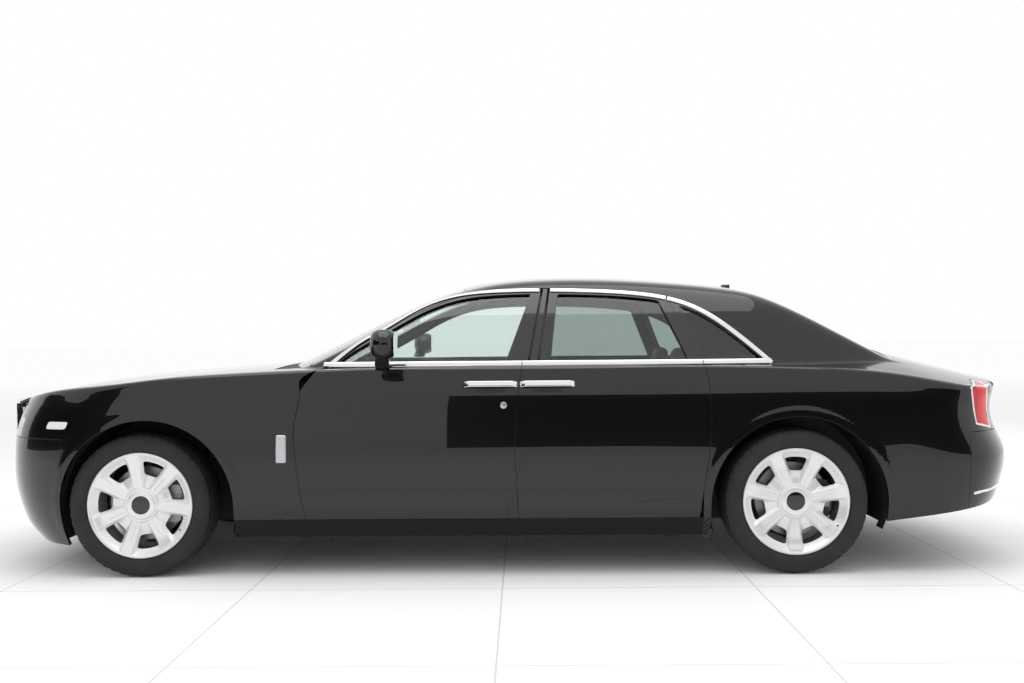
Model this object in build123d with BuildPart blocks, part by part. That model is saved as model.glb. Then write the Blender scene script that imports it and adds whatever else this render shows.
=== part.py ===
from build123d import *
from math import cos, hypot, radians, sin
import os

# A full-size luxury sedan.  Millimetres; +X rearwards, -Y the car's left side, +Z up.
# The origin lies on the ground, midway between the nose and the tail.

# ---- driving dimensions -------------------------------------------------------------
overall_length = 5400
body_width = 1948
wheelbase = 3295
front_axle_x = -1830
rear_axle_x = front_axle_x + wheelbase
front_track = 1622
rear_track = 1660
tyre_radius = 362
tyre_width = 255
rim_radius = 256
rim_width = 220
roof_rise = 1536
belt_z = 1046
sill_z = 197
door_bottom_z = 288
arch_radius = 443
arch_front_x = -1789
arch_rear_x = 1478
arch_z = 352
skin_thickness = 25
door_thickness = 115
frame_thickness = 32
glass_thickness = 5
shut_gap = 6
rebate_width = 23
door_inner_inset = 36
seam = 0.3
kingpin_y = 745
hinge_reach = 45
hinge_depth = 8
hinge_relief_radius = 71
lid_thickness = 22
spoke_count = 7
grille_bar_count = 22

half_length = overall_length / 2
half_width = body_width / 2
LEFT, RIGHT = -1, 1

# ---- body surfaces ------------------------------------------------------------------
# Waterlines: height, then how far nose, flank and tail lie inside the greatest section.
waterlines = [
    (140, 130, 90, 190),
    (230, 64, 50, 110),
    (300, 38, 24, 66),
    (430, 6, 6, 18),
    (600, 0, 0, 0),
    (730, 12, 3, 55),
    (850, 55, 11, 62),
    (945, 120, 26, 40),
    (1010, 190, 48, 60),
    (1150, 330, 140, 160),
]
nose_plan = [(0, 0), (25, 400), (90, 600), (220, 800), (500, 950), (900, 974)]
tail_plan = [(0, 0), (10, 400), (100, 700), (250, 880), (700, 960), (1300, 973)]

# Side profile of the bonnet and boot deck: x, centre height, height at shoulder_y.
shoulder_y = 850
bonnet_line = [
    (-2760, 770, 740), (-2614, 878, 850), (-2501, 919, 890), (-2388, 944, 920),
    (-2274, 967, 943), (-1991, 1006, 976), (-1709, 1026, 1006), (-1427, 1045, 1024),
]
waist_line = [(-1145, 1062, 1036), (-700, 1078, 1046), (300, 1080, 1048), (1300, 1092, 1046)]
deck_line = [
    (1764, 1122, 1030), (2028, 1124, 1004), (2203, 1082, 972), (2320, 1050, 947),
    (2553, 989, 900), (2760, 938, 850),
]
underside = [(2760, 300), (2502, 262), (2030, 217), (1000, 197), (-1300, 197), (-2230, 172),
             (-2480, 190), (-2760, 300)]

# Greenhouse: half width by height, the share of it along the car, and the roof profile.
cabin_levels = [(980, 918), (1046, 893), (1150, 850), (1250, 800), (1350, 742), (1450, 668),
                (1600, 545)]
cabin_plan = [(-1400, 0.80), (-1000, 0.905), (-500, 0.975), (200, 1.0), (900, 0.985),
              (1500, 0.905), (2200, 0.70)]
roof_line = [
    (-1400, 950, 60), (-1150, 1072, 62), (-1000, 1143, 64), (-800, 1240, 64), (-600, 1336, 62),
    (-400, 1424, 58), (-200, 1489, 54), (0, 1522, 50), (300, roof_rise, 48), (858, 1515, 48),
    (1152, 1486, 48), (1330, 1456, 52), (1503, 1394, 58), (1736, 1281, 64), (2028, 1129, 68),
    (2250, 1012, 70),
]
crown_y = 650
lean = 1.12


def plan_curve(nose_in, side_in, tail_in, inset):
    """Half a waterline, from the nose at the centre line to the tail."""
    width = half_width - side_in - inset
    scale = width / nose_plan[-1][1]
    nose = [(-half_length + nose_in + inset + dx, y * scale) for dx, y in nose_plan]
    tail = [(half_length - tail_in - inset - dx, y * scale) for dx, y in reversed(tail_plan)]
    return nose + [(0, width)] + tail


def flank_solid(inset):
    """The left half of the body below the waist, drawn in plan and lofted upwards."""
    with BuildPart() as solid:
        for z, nose_in, side_in, tail_in in waterlines:
            with BuildSketch(Plane.XY.offset(z)):
                with BuildLine():
                    side = [(x, -y) for x, y in plan_curve(nose_in, side_in, tail_in, inset)]
                    Spline(*side, tangents=[(0, -1), (0, 1)])
                    Line(side[0], side[-1])
                make_face()
        loft()
    return solid.part


def crowned_solid(stations, width, base, inset):
    """A side profile, crowned across the car: it falls by the third value at the width."""
    with BuildPart() as solid:
        for y in (-1000, 0, 1000):
            fall = (y / width) ** 2
            top = [(x, z - drop * fall - inset) for x, z, drop in stations]
            with BuildSketch(Plane.XZ.offset(-y)):
                with BuildLine():
                    Spline(*top)
                    Polyline(top[-1], *[(x, z + inset) for x, z in base], top[0])
                make_face()
        loft()
    return solid.part


def hull_solid(inset):
    """The left half of the lower body: flank, bonnet and boot deck."""
    stations = [(x, z, z - zs) for x, z, zs in bonnet_line + waist_line + deck_line]
    flanks = flank_solid(inset)
    profile = crowned_solid(stations, shoulder_y, underside, inset)
    with BuildPart() as solid:
        add(flanks)
        add(profile, mode=Mode.INTERSECT)
    return solid.part


def cabin_solid(inset):
    """The left half of the greenhouse: a leaning flank under a crowned roof and screens."""
    base = [(2250, 600), (-1400, 600)]
    profile = crowned_solid(roof_line, crown_y, base, inset * lean)
    with BuildPart() as solid:
        for z, width in cabin_levels:
            side = [(x, -(width - inset * lean) * share) for x, share in cabin_plan]
            with BuildSketch(Plane.XY.offset(z)):
                with BuildLine():
                    Spline(*side)
                    Polyline(side[-1], (side[-1][0], 0), (side[0][0], 0), side[0])
                make_face()
        loft()
        add(profile, mode=Mode.INTERSECT)
    return solid.part



# ---- side-view and plan-view outlines -------------------------------------------------
front_shut = [(-988, door_bottom_z), (-1011, 399), (-1034, 602), (-1038, 781), (-1014, 943),
              (-985, 1015), (-909, belt_z + 1)]
middle_shut = [(79, door_bottom_z), (66, 545), (63, 643), (71, 788), (85, 934), (100, 1046)]
rear_shut = [(981, door_bottom_z), (1019, 554), (1036, 667), (1040, 780), (1038, 926),
             (1020, 1046)]
rail_line = [(-925, belt_z - 12), (-797, 1138), (-590, 1259), (-436, 1347), (-229, 1421),
             (-24, 1445), (204, 1449), (494, 1441), (725, 1423), (933, 1379), (1071, 1314),
             (1208, 1213), (1410, belt_z - 12)]
trim_width = 28
front_frame_end = [(132, 1079), (204, 1447)]
rear_frame_start = [(191, 1079), (250, 1441)]
rear_frame_end = [(1007, 1072), (858, 1398)]
front_glass_end = [(23, 1080), (149, 1417)]
rear_glass_start = [(247, 1078), (288, 1420)]
rear_glass_end = [(946, 1075), (815, 1379)]
quarter_glass_start = [(1038, 1074), (912, 1363)]
glass_foot_z = belt_z + 6
pillar_split = [(-1320, 775), (-1150, 745), (-200, 575), (300, 560), (1330, 545), (2030, 600),
                (2260, 640)]
header_front_x = -190
header_rear_x = 1395
bonnet_rear_x = -1185
bonnet_front_x = -2604
bonnet_edge = [(bonnet_front_x, 560), (-2300, 690), (-1900, 745), (bonnet_rear_x, 770)]
boot_front_x = 2045
boot_edge_y = 620
bumper_top_z = 700
bumper_front_x = -2215
bumper_rear_x = 2335
reach = 1100
rocker_inner_y = 700
rear_housing_y = 620
front_liner_radius = 460
liner_wall = 4
rail_front_x = -2560
tow_eye_y = 435
tow_eye_radius = 9
grille_half_width = 400
grille_bottom_z = 432
grille_top_z = 874
grille_front_x = -half_length
lamp_inner_y, lamp_outer_y = 478, 760
lamp_bottom_z, lamp_top_z = 704, 800
door_inner_y = 850
jack_pad_x, jack_pad_y, jack_pad_z = (-900, 850), 860, 188
door_hinge_y = half_width - hinge_depth
front_hinge_x = -1038 + hinge_reach
rear_hinge_x = 1036 - hinge_reach


def line_x(ends, z):
    """Where the straight line through two side-view points crosses a height."""
    (x0, z0), (x1, z1) = ends
    return x0 + (x1 - x0) * (z - z0) / (z1 - z0)


def side_prism(outline, start=0, end=reach):
    """A side-view sketch carried out to the left of the car."""
    with BuildPart() as solid:
        extrude(outline, amount=end, dir=(0, -1, 0))
        if start:
            with Locations((0, -start / 2, 1000)):
                Box(8000, start, 4000, mode=Mode.SUBTRACT)
    return solid.part


def side_outline(points):
    """A side-view polygon."""
    with BuildSketch(Plane.XZ) as sketch:
        with BuildLine():
            Polyline(*points, close=True)
        make_face()
    return sketch.sketch


def plan_prism(points, low=100, high=1700):
    """A plan-view polygon on the left half of the car carried up."""
    with BuildPart() as solid:
        with BuildSketch(Plane.XY.offset(low)):
            with BuildLine():
                Polyline(*points, close=True)
            make_face()
        extrude(amount=high - low, dir=(0, 0, 1))
    return solid.part


def band(x0, x1, z0, z1, y0=0, y1=reach):
    """A block on the left of the car between two places along, up and across."""
    with BuildPart(Plane.XZ.offset(y0)) as solid:
        with Locations(((x0 + x1) / 2, (z0 + z1) / 2)):
            Box(x1 - x0, z1 - z0, y1 - y0, align=(Align.CENTER, Align.CENTER, Align.MIN))
    return solid.part


def cut_shell(outer, inner, keep=(), drop=()):
    """What lies between two nested solids, within the keepers and clear of the cutters."""
    with BuildPart() as core:
        add(inner)
        for piece in keep:
            add(piece, mode=Mode.INTERSECT)
    with BuildPart() as solid:
        add(outer)
        for piece in keep:
            add(piece, mode=Mode.INTERSECT)
        add(core.part, mode=Mode.SUBTRACT)
        for piece in drop:
            add(piece, mode=Mode.SUBTRACT)
    return solid.part


def both_halves(solid):
    """Joins a left-hand solid to its mirror image across the centre plane."""
    with BuildPart() as whole:
        add(solid)
        mirror(about=Plane.XZ)
    return whole.part


def moved_outwards(points, distance):
    """Moves each point of an open curve square to it, to its left-hand side."""
    moved = []
    last = len(points) - 1
    for i, (x, z) in enumerate(points):
        before, after = points[max(i - 1, 0)], points[min(i + 1, last)]
        dx, dz = after[0] - before[0], after[1] - before[1]
        length = hypot(dx, dz)
        moved.append((x - distance * dz / length, z + distance * dx / length))
    return moved


def lower_door_sketch(front, rear, grow):
    """The side-view outline of a door below the waist, grown or shrunk all round."""
    leading = moved_outwards(front, grow)
    trailing = moved_outwards(rear, -grow)
    foot_z = door_bottom_z - grow
    with BuildSketch(Plane.XZ) as sketch:
        with BuildLine():
            Spline(*leading)
            Spline(*trailing)
            Polyline(leading[0], (leading[0][0] + 2, 150), (trailing[0][0] - 2, 150), trailing[0])
            Polyline(leading[-1], (leading[-1][0], 1150), (trailing[-1][0], 1150), trailing[-1])
        make_face()
        with Locations((0, foot_z - 1000)):
            Rectangle(6000, 2000, mode=Mode.SUBTRACT)
    return sketch.sketch


def daylight_sketch(grow, start=None, end=None, floor_z=950, lead=0, trail=0):
    """The side-view outline of the side windows, cut off by two slanted lines."""
    with BuildSketch(Plane.XZ) as sketch:
        with BuildLine():
            rail = Spline(*moved_outwards(rail_line, grow))
            Polyline(rail @ 0, ((rail @ 0).X, floor_z), ((rail @ 1).X, floor_z), rail @ 1)
        make_face()
        left = [(line_x(start, z) + lead, z) for z in (1600, 900)] if start else [
            (-1500, 1600), (-1500, 900)]
        right = [(line_x(end, z) + trail, z) for z in (900, 1600)] if end else [
            (1800, 900), (1800, 1600)]
        with BuildSketch(Plane.XZ, mode=Mode.INTERSECT):
            with BuildLine():
                Polyline(*left, *right, close=True)
            make_face()
    return sketch.sketch


def outboard(distance, low=100):
    """The left of the car outside the line where pillars meet screens and roof."""
    line = [(x, -y - distance) for x, y in pillar_split]
    return plan_prism(line + [(line[-1][0], -reach), (line[0][0], -reach)], low)


def inboard(x0, x1, clearance):
    """The middle of the car inside that line, over a stretch of its length."""
    line = [(x, -y + clearance) for x, y in pillar_split]
    half = plan_prism(line + [(line[-1][0], 0), (line[0][0], 0)])
    with BuildPart() as solid:
        add(half)
        with Locations(((x0 + x1) / 2, 0, 1000)):
            Box(x1 - x0, 4000, 4000, mode=Mode.INTERSECT)
    return solid.part


def arch_cylinder(x, z, radius, y0=0, y1=reach):
    """A wheel opening cut across the left of the car, open downwards."""
    with BuildPart() as solid:
        with BuildSketch(Plane.XZ.offset(y0)):
            with Locations((x, z)):
                Circle(radius)
            with Locations((x, z - 300)):
                Rectangle(2 * radius, 600)
        extrude(amount=y1 - y0, dir=(0, -1, 0))
    return solid.part


def hinge_relief(x, side):
    """The hollow in a pillar that the leading edge of its door swings through."""
    with BuildPart() as solid:
        with Locations((x, -door_hinge_y, 700)):
            Cylinder(hinge_relief_radius, 1000)
        with Locations((x + side * 44, -door_hinge_y, 700)):
            Box(180, 400, 1200, align=(Align.MIN if side < 0 else Align.MAX, Align.CENTER,
                                       Align.CENTER), mode=Mode.INTERSECT)
    return solid.part


def save(piece, name):
    """Labels a finished piece and writes it to its own file."""
    piece.part.label = name
    export_step(piece.part, f"parts/{name}.step", write_pcurves=False)


def save_pair(left, name):
    """Writes a left-hand piece and its mirror image."""
    with BuildPart() as right:
        mirror(left.part, about=Plane.XZ)
    save(left, f"{name}_left")
    save(right, f"{name}_right")


os.makedirs("parts", exist_ok=True)

hull = hull_solid(0)
hull_skin = hull_solid(skin_thickness)
hull_landing = hull_solid(lid_thickness + seam)
hull_rebate = hull_solid(skin_thickness + shut_gap)
hull_trim = hull_solid(door_thickness)
hull_deep = hull_solid(door_thickness + 15)
cabin = cabin_solid(0)
cabin_glass = cabin_solid(14)
cabin_glass_back = cabin_solid(14 + glass_thickness)
cabin_frame = cabin_solid(frame_thickness)
cabin_inner = cabin_solid(46)
cabin_rib = cabin_solid(4)

# ---- doors ----------------------------------------------------------------------------
door_outlines = {
    "front_door": (front_shut, middle_shut, None, front_frame_end, None, front_glass_end),
    "rear_door": (middle_shut, rear_shut, rear_frame_start, rear_frame_end, rear_glass_start,
                  rear_glass_end),
}
door_openings = []
left_doors = {}
for name, outline in door_outlines.items():
    leading, trailing, frame_start, frame_end, glass_start, glass_end = outline
    skin_region = side_prism(lower_door_sketch(leading, trailing, -4))
    trim_region = side_prism(lower_door_sketch(leading, trailing, -door_inner_inset),
                             start=door_inner_y)
    frame_region = side_prism(daylight_sketch(0, frame_start, frame_end), start=500)
    glass_region = side_prism(daylight_sketch(-trim_width, glass_start, glass_end), start=500)
    pane_region = side_prism(daylight_sketch(-trim_width - seam, glass_start, glass_end,
                                             lead=seam, trail=-seam), start=500)
    outer = cut_shell(hull, hull_skin, keep=[skin_region],
                      drop=[band(-3000, 3000, 0, 2000, 0, door_inner_y)])
    inner = cut_shell(hull_skin, hull_trim, keep=[trim_region])
    frame = cut_shell(cabin, cabin_frame, keep=[frame_region, outboard(45)],
                      drop=[hull, glass_region])
    with BuildPart() as door:
        add(outer)
        add(inner)
        add(frame)
    save_pair(door, name)
    left_doors[name] = door.part
    with BuildPart() as pane:
        add(cut_shell(cabin_glass, cabin_glass_back, keep=[pane_region, outboard(48)],
                      drop=[hull]))
    save_pair(pane, f"{name}_glass")
    door_openings.append(side_prism(lower_door_sketch(leading, trailing, 2)))
    door_openings.append(side_prism(lower_door_sketch(leading, trailing, -rebate_width)))

# ---- fixed body -------------------------------------------------------------------------
front_arch = arch_cylinder(arch_front_x, arch_z, arch_radius)
rear_arch = arch_cylinder(arch_rear_x, arch_z, arch_radius)
rear_liner_bay = arch_cylinder(arch_rear_x, arch_z, arch_radius + liner_wall, 0, reach)
ahead_of_door = side_prism(lower_door_sketch([(-3000, z) for x, z in front_shut], front_shut, -2))
tail_lamp_outline = [(2390, 905), (2410, 735), (2500, 712), (2478, 930)]


def lamp_prism(outline, grow, y0):
    """A side-view lamp opening on the left flank."""
    with BuildPart() as solid:
        with BuildSketch(Plane.XZ.offset(y0)):
            with BuildLine():
                Polyline(*outline, close=True)
            make_face()
            offset(amount=grow)
        extrude(amount=reach - y0, dir=(0, -1, 0))
    return solid.part


tail_lamp_bay = lamp_prism(tail_lamp_outline, seam, 640)

# Rocker, hinge pillars, centre pillar and rear quarter, with the cant rail above.
rear_edge_x = half_length + 100
outer_keep = plan_prism([(-988, -700), (-988, -reach), (rear_edge_x, -reach),
                         (rear_edge_x, -boot_edge_y - 3), (boot_front_x - 4, -boot_edge_y - 3),
                         (boot_front_x - 4, -600), (1700, -560), (1200, -700)], sill_z - 40)
bumper_bay = band(bumper_rear_x - seam, rear_edge_x + 50, 0, bumper_top_z)
outer_layer = cut_shell(hull, hull_rebate, keep=[outer_keep],
                        drop=[tail_lamp_bay, bumper_bay, rear_arch, door_openings[0],
                              door_openings[2], ahead_of_door])
with BuildPart() as rocker_and_pillars:
    add(band(-1125, 1165, sill_z - 20, 330, rocker_inner_y))
    add(band(-1125, 1165, 320, 1200, door_inner_y - 20))
deep_keep = rocker_and_pillars.part
deep_layer = cut_shell(hull_rebate, hull_deep, keep=[deep_keep],
                       drop=[door_openings[1], door_openings[3], rear_liner_bay,
                             hinge_relief(front_hinge_x, -1), hinge_relief(rear_hinge_x, 1)])
upper_opening = side_prism(daylight_sketch(6, None, rear_frame_end, trail=8), start=500)
quarter_region = side_prism(daylight_sketch(-trim_width, quarter_glass_start), start=500)
upper_layer = cut_shell(cabin, cabin_inner, keep=[outboard(0)],
                        drop=[hull, upper_opening, quarter_region])
wing_mount = cut_shell(hull_skin, hull_rebate, keep=[band(-1125, -1050, 330, 980, door_inner_y)])
latch_pad = cut_shell(hull_solid(skin_thickness + seam), hull_rebate,
                      keep=[band(42, 86, 480, 560, door_inner_y)])
boot_landing = cut_shell(hull_landing, hull_rebate,
                         keep=[band(boot_front_x + 110, 2560, 850, 1200, boot_edge_y - 18,
                                    boot_edge_y + 20)])
# The centre pillar stands between the door frames and steps in behind them at the waist.
pillar_cover = side_prism(side_outline([(146, 1060), (177, 1060), (238, 1460), (216, 1460)]), 500)
pillar_core = side_prism(side_outline([(96, 990), (122, 990), (122, 1060), (200, 1060),
                                       (245, 1480), (150, 1480), (100, 1060)]), 500)
cabin_core = cabin_solid(frame_thickness + shut_gap)
centre_pillar = [cut_shell(cabin_rib, cabin_core, keep=[pillar_cover], drop=[hull]),
                 cut_shell(cabin_core, cabin_solid(60),
                           keep=[pillar_core, band(0, 300, 900, 1500, 500, 842)])]
jack_pads = [band(x - 40, x + 40, jack_pad_z, sill_z + 12, jack_pad_y - 25, jack_pad_y + 25)
             for x in jack_pad_x]
with BuildPart() as body_side:
    add(outer_layer)
    add(boot_landing)
    add(wing_mount)
    add(latch_pad)
    add(deep_layer)
    add(upper_layer)
    for piece in centre_pillar + jack_pads:
        add(piece)
save_pair(body_side, "body_side")
with BuildPart() as quarter_glass:
    add(cut_shell(cabin_glass, cabin_glass_back,
                  keep=[side_prism(daylight_sketch(-trim_width - seam, quarter_glass_start,
                                                   lead=seam), start=500)], drop=[hull]))
save_pair(quarter_glass, "quarter_glass")

with BuildPart() as roof_panel:
    add(both_halves(cut_shell(cabin, cabin_frame,
                              keep=[inboard(header_front_x, header_rear_x, 0)])))
    with BuildSketch(Plane.XZ.offset(-14)):
        with BuildLine():
            Polyline((1255, 1440), (1325, 1440), (1325, 1486), (1300, 1496), close=True)
        make_face()
    extrude(amount=28, dir=(0, -1, 0))
save(roof_panel, "roof_panel")
with BuildPart() as windscreen:
    add(both_halves(cut_shell(cabin_rib, cabin_solid(10), drop=[hull],
                              keep=[inboard(-1400, header_front_x - seam, seam)])))
save(windscreen, "windscreen")
with BuildPart() as rear_window:
    add(both_halves(cut_shell(cabin_rib, cabin_solid(10), drop=[hull],
                              keep=[inboard(header_rear_x + seam, boot_front_x - shut_gap,
                                            seam)])))
save(rear_window, "rear_window")

# Bonnet, boot lid, cowl and rear deck.
bonnet_plan = [(x, -y) for x, y in bonnet_edge] + [(bonnet_rear_x, 0), (bonnet_front_x, 0)]
bonnet_hole = plan_prism([(x, -y - shut_gap) for x, y in bonnet_edge]
                         + [(bonnet_rear_x + 400, -776), (bonnet_rear_x + 400, 0),
                            (bonnet_front_x - shut_gap, 0), (bonnet_front_x - shut_gap, -566)], 690)
hull_lid = hull_solid(lid_thickness)


with BuildPart() as bonnet:
    add(both_halves(cut_shell(hull, hull_lid, keep=[plan_prism(bonnet_plan, lamp_top_z + shut_gap)])))
save(bonnet, "bonnet")
boot_plan = [(boot_front_x, 0), (boot_front_x, -600), (boot_front_x + 90, -boot_edge_y),
             (rear_edge_x, -boot_edge_y), (rear_edge_x, 0)]
with BuildPart() as boot_lid:
    add(both_halves(cut_shell(hull, hull_lid, keep=[plan_prism(boot_plan, bumper_top_z + shut_gap)])))
save(boot_lid, "boot_lid")
with BuildPart() as cowl:
    add(both_halves(cut_shell(hull, hull_lid, drop=[cabin],
                              keep=[band(bonnet_rear_x + shut_gap, -800, 900, 1200, 0, 769)])))
save(cowl, "cowl")

# Front wings, bumpers and lamps.
headlamp_bay = band(-2750, -2100, lamp_bottom_z - seam, lamp_top_z + seam, lamp_inner_y - seam,
                    lamp_outer_y + seam)
bonnet_landing_plan = [(x, -y - 15) for x, y in bonnet_edge] + [
    (x, -y + 18) for x, y in reversed(bonnet_edge)]
bonnet_landing = cut_shell(hull_landing, hull_rebate, keep=[plan_prism(bonnet_landing_plan, 800)],
                           drop=[cabin])
with BuildPart() as front_wing:
    add(bonnet_landing)
    add(cut_shell(hull, hull_skin, keep=[band(-2800, -880, sill_z - 20, 1200, grille_half_width + 4)],
                  drop=[front_arch, bonnet_hole, headlamp_bay, cabin,
                        band(-2800, bumper_front_x + seam, 0, bumper_top_z, 0),
                        side_prism(lower_door_sketch(front_shut, [(3000, z) for x, z in front_shut],
                                                     2)),
                        band(-990, -500, 0, 400), band(-2800, -880, 0, 320, 0, 860)]))
save_pair(front_wing, "front_wing")
grille_bay = band(-2800, -2400, grille_bottom_z, 1000, 0, grille_half_width + 4)
with BuildPart() as front_bumper:
    add(both_halves(cut_shell(hull, hull_skin,
                              keep=[band(-2800, bumper_front_x, 100, bumper_top_z - seam, 0)],
                              drop=[front_arch, grille_bay,
                                    arch_cylinder(arch_front_x, arch_z,
                                                  front_liner_radius + liner_wall, 460, 900)])))
save(front_bumper, "front_bumper")
with BuildPart() as rear_bumper:
    add(both_halves(cut_shell(hull, hull_skin,
                              keep=[band(bumper_rear_x, rear_edge_x, 100, bumper_top_z - seam, 0)])))
save(rear_bumper, "rear_bumper")
with BuildPart() as headlamp:
    add(cut_shell(hull, hull_rebate, keep=[band(-2750, -2100, lamp_bottom_z, lamp_top_z,
                                                   lamp_inner_y, lamp_outer_y)]))
save_pair(headlamp, "headlamp")
with BuildPart() as tail_lamp:
    add(cut_shell(hull, hull_rebate, keep=[lamp_prism(tail_lamp_outline, 0, 640 + seam)]))
save_pair(tail_lamp, "tail_lamp")


# ---- nose -------------------------------------------------------------------------------
grille_depth = 90
grille_frame = 34
with BuildPart() as grille:
    with BuildSketch(Plane.YZ.offset(grille_front_x)):
        with Locations((0, (grille_bottom_z + grille_top_z) / 2)):
            RectangleRounded(2 * grille_half_width, grille_top_z - grille_bottom_z, 24)
            RectangleRounded(2 * (grille_half_width - grille_frame),
                             grille_top_z - grille_bottom_z - 2 * grille_frame, 12,
                             mode=Mode.SUBTRACT)
    extrude(amount=grille_depth)
    with BuildSketch(Plane.YZ.offset(grille_front_x + 16)):
        bar_pitch = 2 * (grille_half_width - grille_frame) / (grille_bar_count + 1)
        with Locations((0, (grille_bottom_z + grille_top_z) / 2)):
            with GridLocations(bar_pitch, 1, grille_bar_count, 1):
                Rectangle(11, grille_top_z - grille_bottom_z - grille_frame)
    extrude(amount=42)
save(grille, "grille")

# ---- running gear -----------------------------------------------------------------------
# Wheels are drawn about their own centre with the outer face towards -Y.
bead_half = rim_width / 2 - 8
flange_radius = rim_radius + 12
tread_half = 112
shoulder_drop = 9
with BuildPart() as tyre:
    with BuildSketch(Plane.YZ):
        with BuildLine():
            Line((-bead_half, rim_radius), (-bead_half, flange_radius))
            outer_wall = ThreePointArc((-bead_half, flange_radius), (-tyre_width / 2, 312),
                                       (-tread_half - 6, tyre_radius - 20))
            shoulder = ThreePointArc(outer_wall @ 1, (-tread_half - 1, tyre_radius - 12),
                                     (-tread_half + 12, tyre_radius - shoulder_drop + 4))
            ThreePointArc(shoulder @ 1, (0, tyre_radius),
                          (tread_half - 12, tyre_radius - shoulder_drop + 4))
            ThreePointArc((tread_half - 12, tyre_radius - shoulder_drop + 4),
                          (tread_half + 1, tyre_radius - 12), (tread_half + 6, tyre_radius - 20))
            ThreePointArc((tread_half + 6, tyre_radius - 20), (tyre_width / 2, 312),
                          (bead_half, flange_radius))
            Polyline((bead_half, flange_radius), (bead_half, rim_radius),
                     (bead_half - 16, rim_radius), (tyre_width / 2 - 16, 306),
                     (tread_half - 18, tyre_radius - 26), (18 - tread_half, tyre_radius - 26),
                     (16 - tyre_width / 2, 306), (16 - bead_half, rim_radius),
                     (-bead_half, rim_radius))
        make_face()
    revolve(axis=Axis.Y)

rim_wall = 9
hub_radius = 88
hub_face_y, spoke_root_y, spoke_tip_y = -88, -80, -100
spoke_depth = 30
spoke_root_width, spoke_tip_width = 62, 84
spoke_root_radius = 60
disc_radius = 187
disc_y = (-5, 29)
stub_radius = 30
stub_end_y = 116
bead_radius = rim_radius - rim_wall
with BuildPart() as spoke:
    for radius, width, face_y in ((spoke_root_radius, spoke_root_width, spoke_root_y),
                                  (150, 66, spoke_root_y - 12),
                                  (bead_radius + 2, spoke_tip_width, spoke_tip_y)):
        with BuildSketch(Plane.XY.offset(radius)):
            with BuildLine():
                Polyline((-width / 2, face_y + spoke_depth), (-width / 2, face_y + 7),
                         (-width / 2 + 8, face_y), (-9, face_y), (0, face_y + 5), (9, face_y),
                         (width / 2 - 8, face_y), (width / 2, face_y + 7),
                         (width / 2, face_y + spoke_depth), close=True)
            make_face()
    loft(ruled=True)
with BuildPart() as rim:
    with BuildSketch(Plane.YZ):
        with BuildLine():
            Polyline((-rim_width / 2 - 3, flange_radius - 3), (-bead_half - seam, flange_radius - 3),
                     (-bead_half - seam, rim_radius - seam), (bead_half + seam, rim_radius - seam),
                     (bead_half + seam, flange_radius - 3), (rim_width / 2 + 3, flange_radius - 3),
                     (rim_width / 2 + 4, bead_radius), (40, bead_radius - 5),
                     (-20, bead_radius - 5), (-rim_width / 2 - 2, bead_radius), close=True)
        make_face()
    revolve(axis=Axis.Y)
    with BuildSketch(Plane.YZ):
        with BuildLine():
            Polyline((hub_face_y, 0), (hub_face_y, 50), (hub_face_y + 6, 56),
                     (spoke_root_y - 4, hub_radius - 8), (spoke_root_y, hub_radius),
                     (spoke_root_y + spoke_depth, hub_radius + 34),
                     (spoke_root_y + spoke_depth + 16, hub_radius), (disc_y[0], 80), (disc_y[0], 0),
                     close=True)
        make_face()
    revolve(axis=Axis.Y)
    for turn in range(spoke_count):
        add(spoke.part.rotate(Axis.Y, turn * 360 / spoke_count))
    with BuildSketch(Plane.XZ.offset(-disc_y[1])):
        Circle(disc_radius)
    extrude(amount=disc_y[1] - disc_y[0])
    with BuildSketch(Plane.XZ.offset(-stub_end_y)):
        Circle(stub_radius)
    extrude(amount=stub_end_y)


def place_wheel(piece, name, x, y):
    """Writes a copy of a wheel piece at its axle end, turned to face outwards."""
    with BuildPart() as placed:
        add(piece.part)
        if y > 0:
            mirror(about=Plane.XZ, mode=Mode.REPLACE)
    placed.part.position = (x, y, tyre_radius)
    save(placed, name)


for axle, axle_x, track in (("front", front_axle_x, front_track), ("rear", rear_axle_x, rear_track)):
    for side_name, side in (("left", LEFT), ("right", RIGHT)):
        place_wheel(tyre, f"tyre_{axle}_{side_name}", axle_x, side * track / 2)
        place_wheel(rim, f"rim_{axle}_{side_name}", axle_x, side * track / 2)


# ---- suspension, engine and exhaust --------------------------------------------------------
ball_radius = 12
eye_clearance = 0.3
eye_low_z = (152, 176)
eye_high_z = (548, 572)
knuckle_low_z, knuckle_high_z = 181, 543
knuckle_y = (712, 760)
wheel_z = tyre_radius
cross_member_z = 232
boot_floor_z = 622
rail_inner_y, rail_outer_y = 400, 470
front_wheel_y = front_track / 2
rear_wheel_y = rear_track / 2
rear_carrier_shift = rear_wheel_y - front_wheel_y


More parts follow.
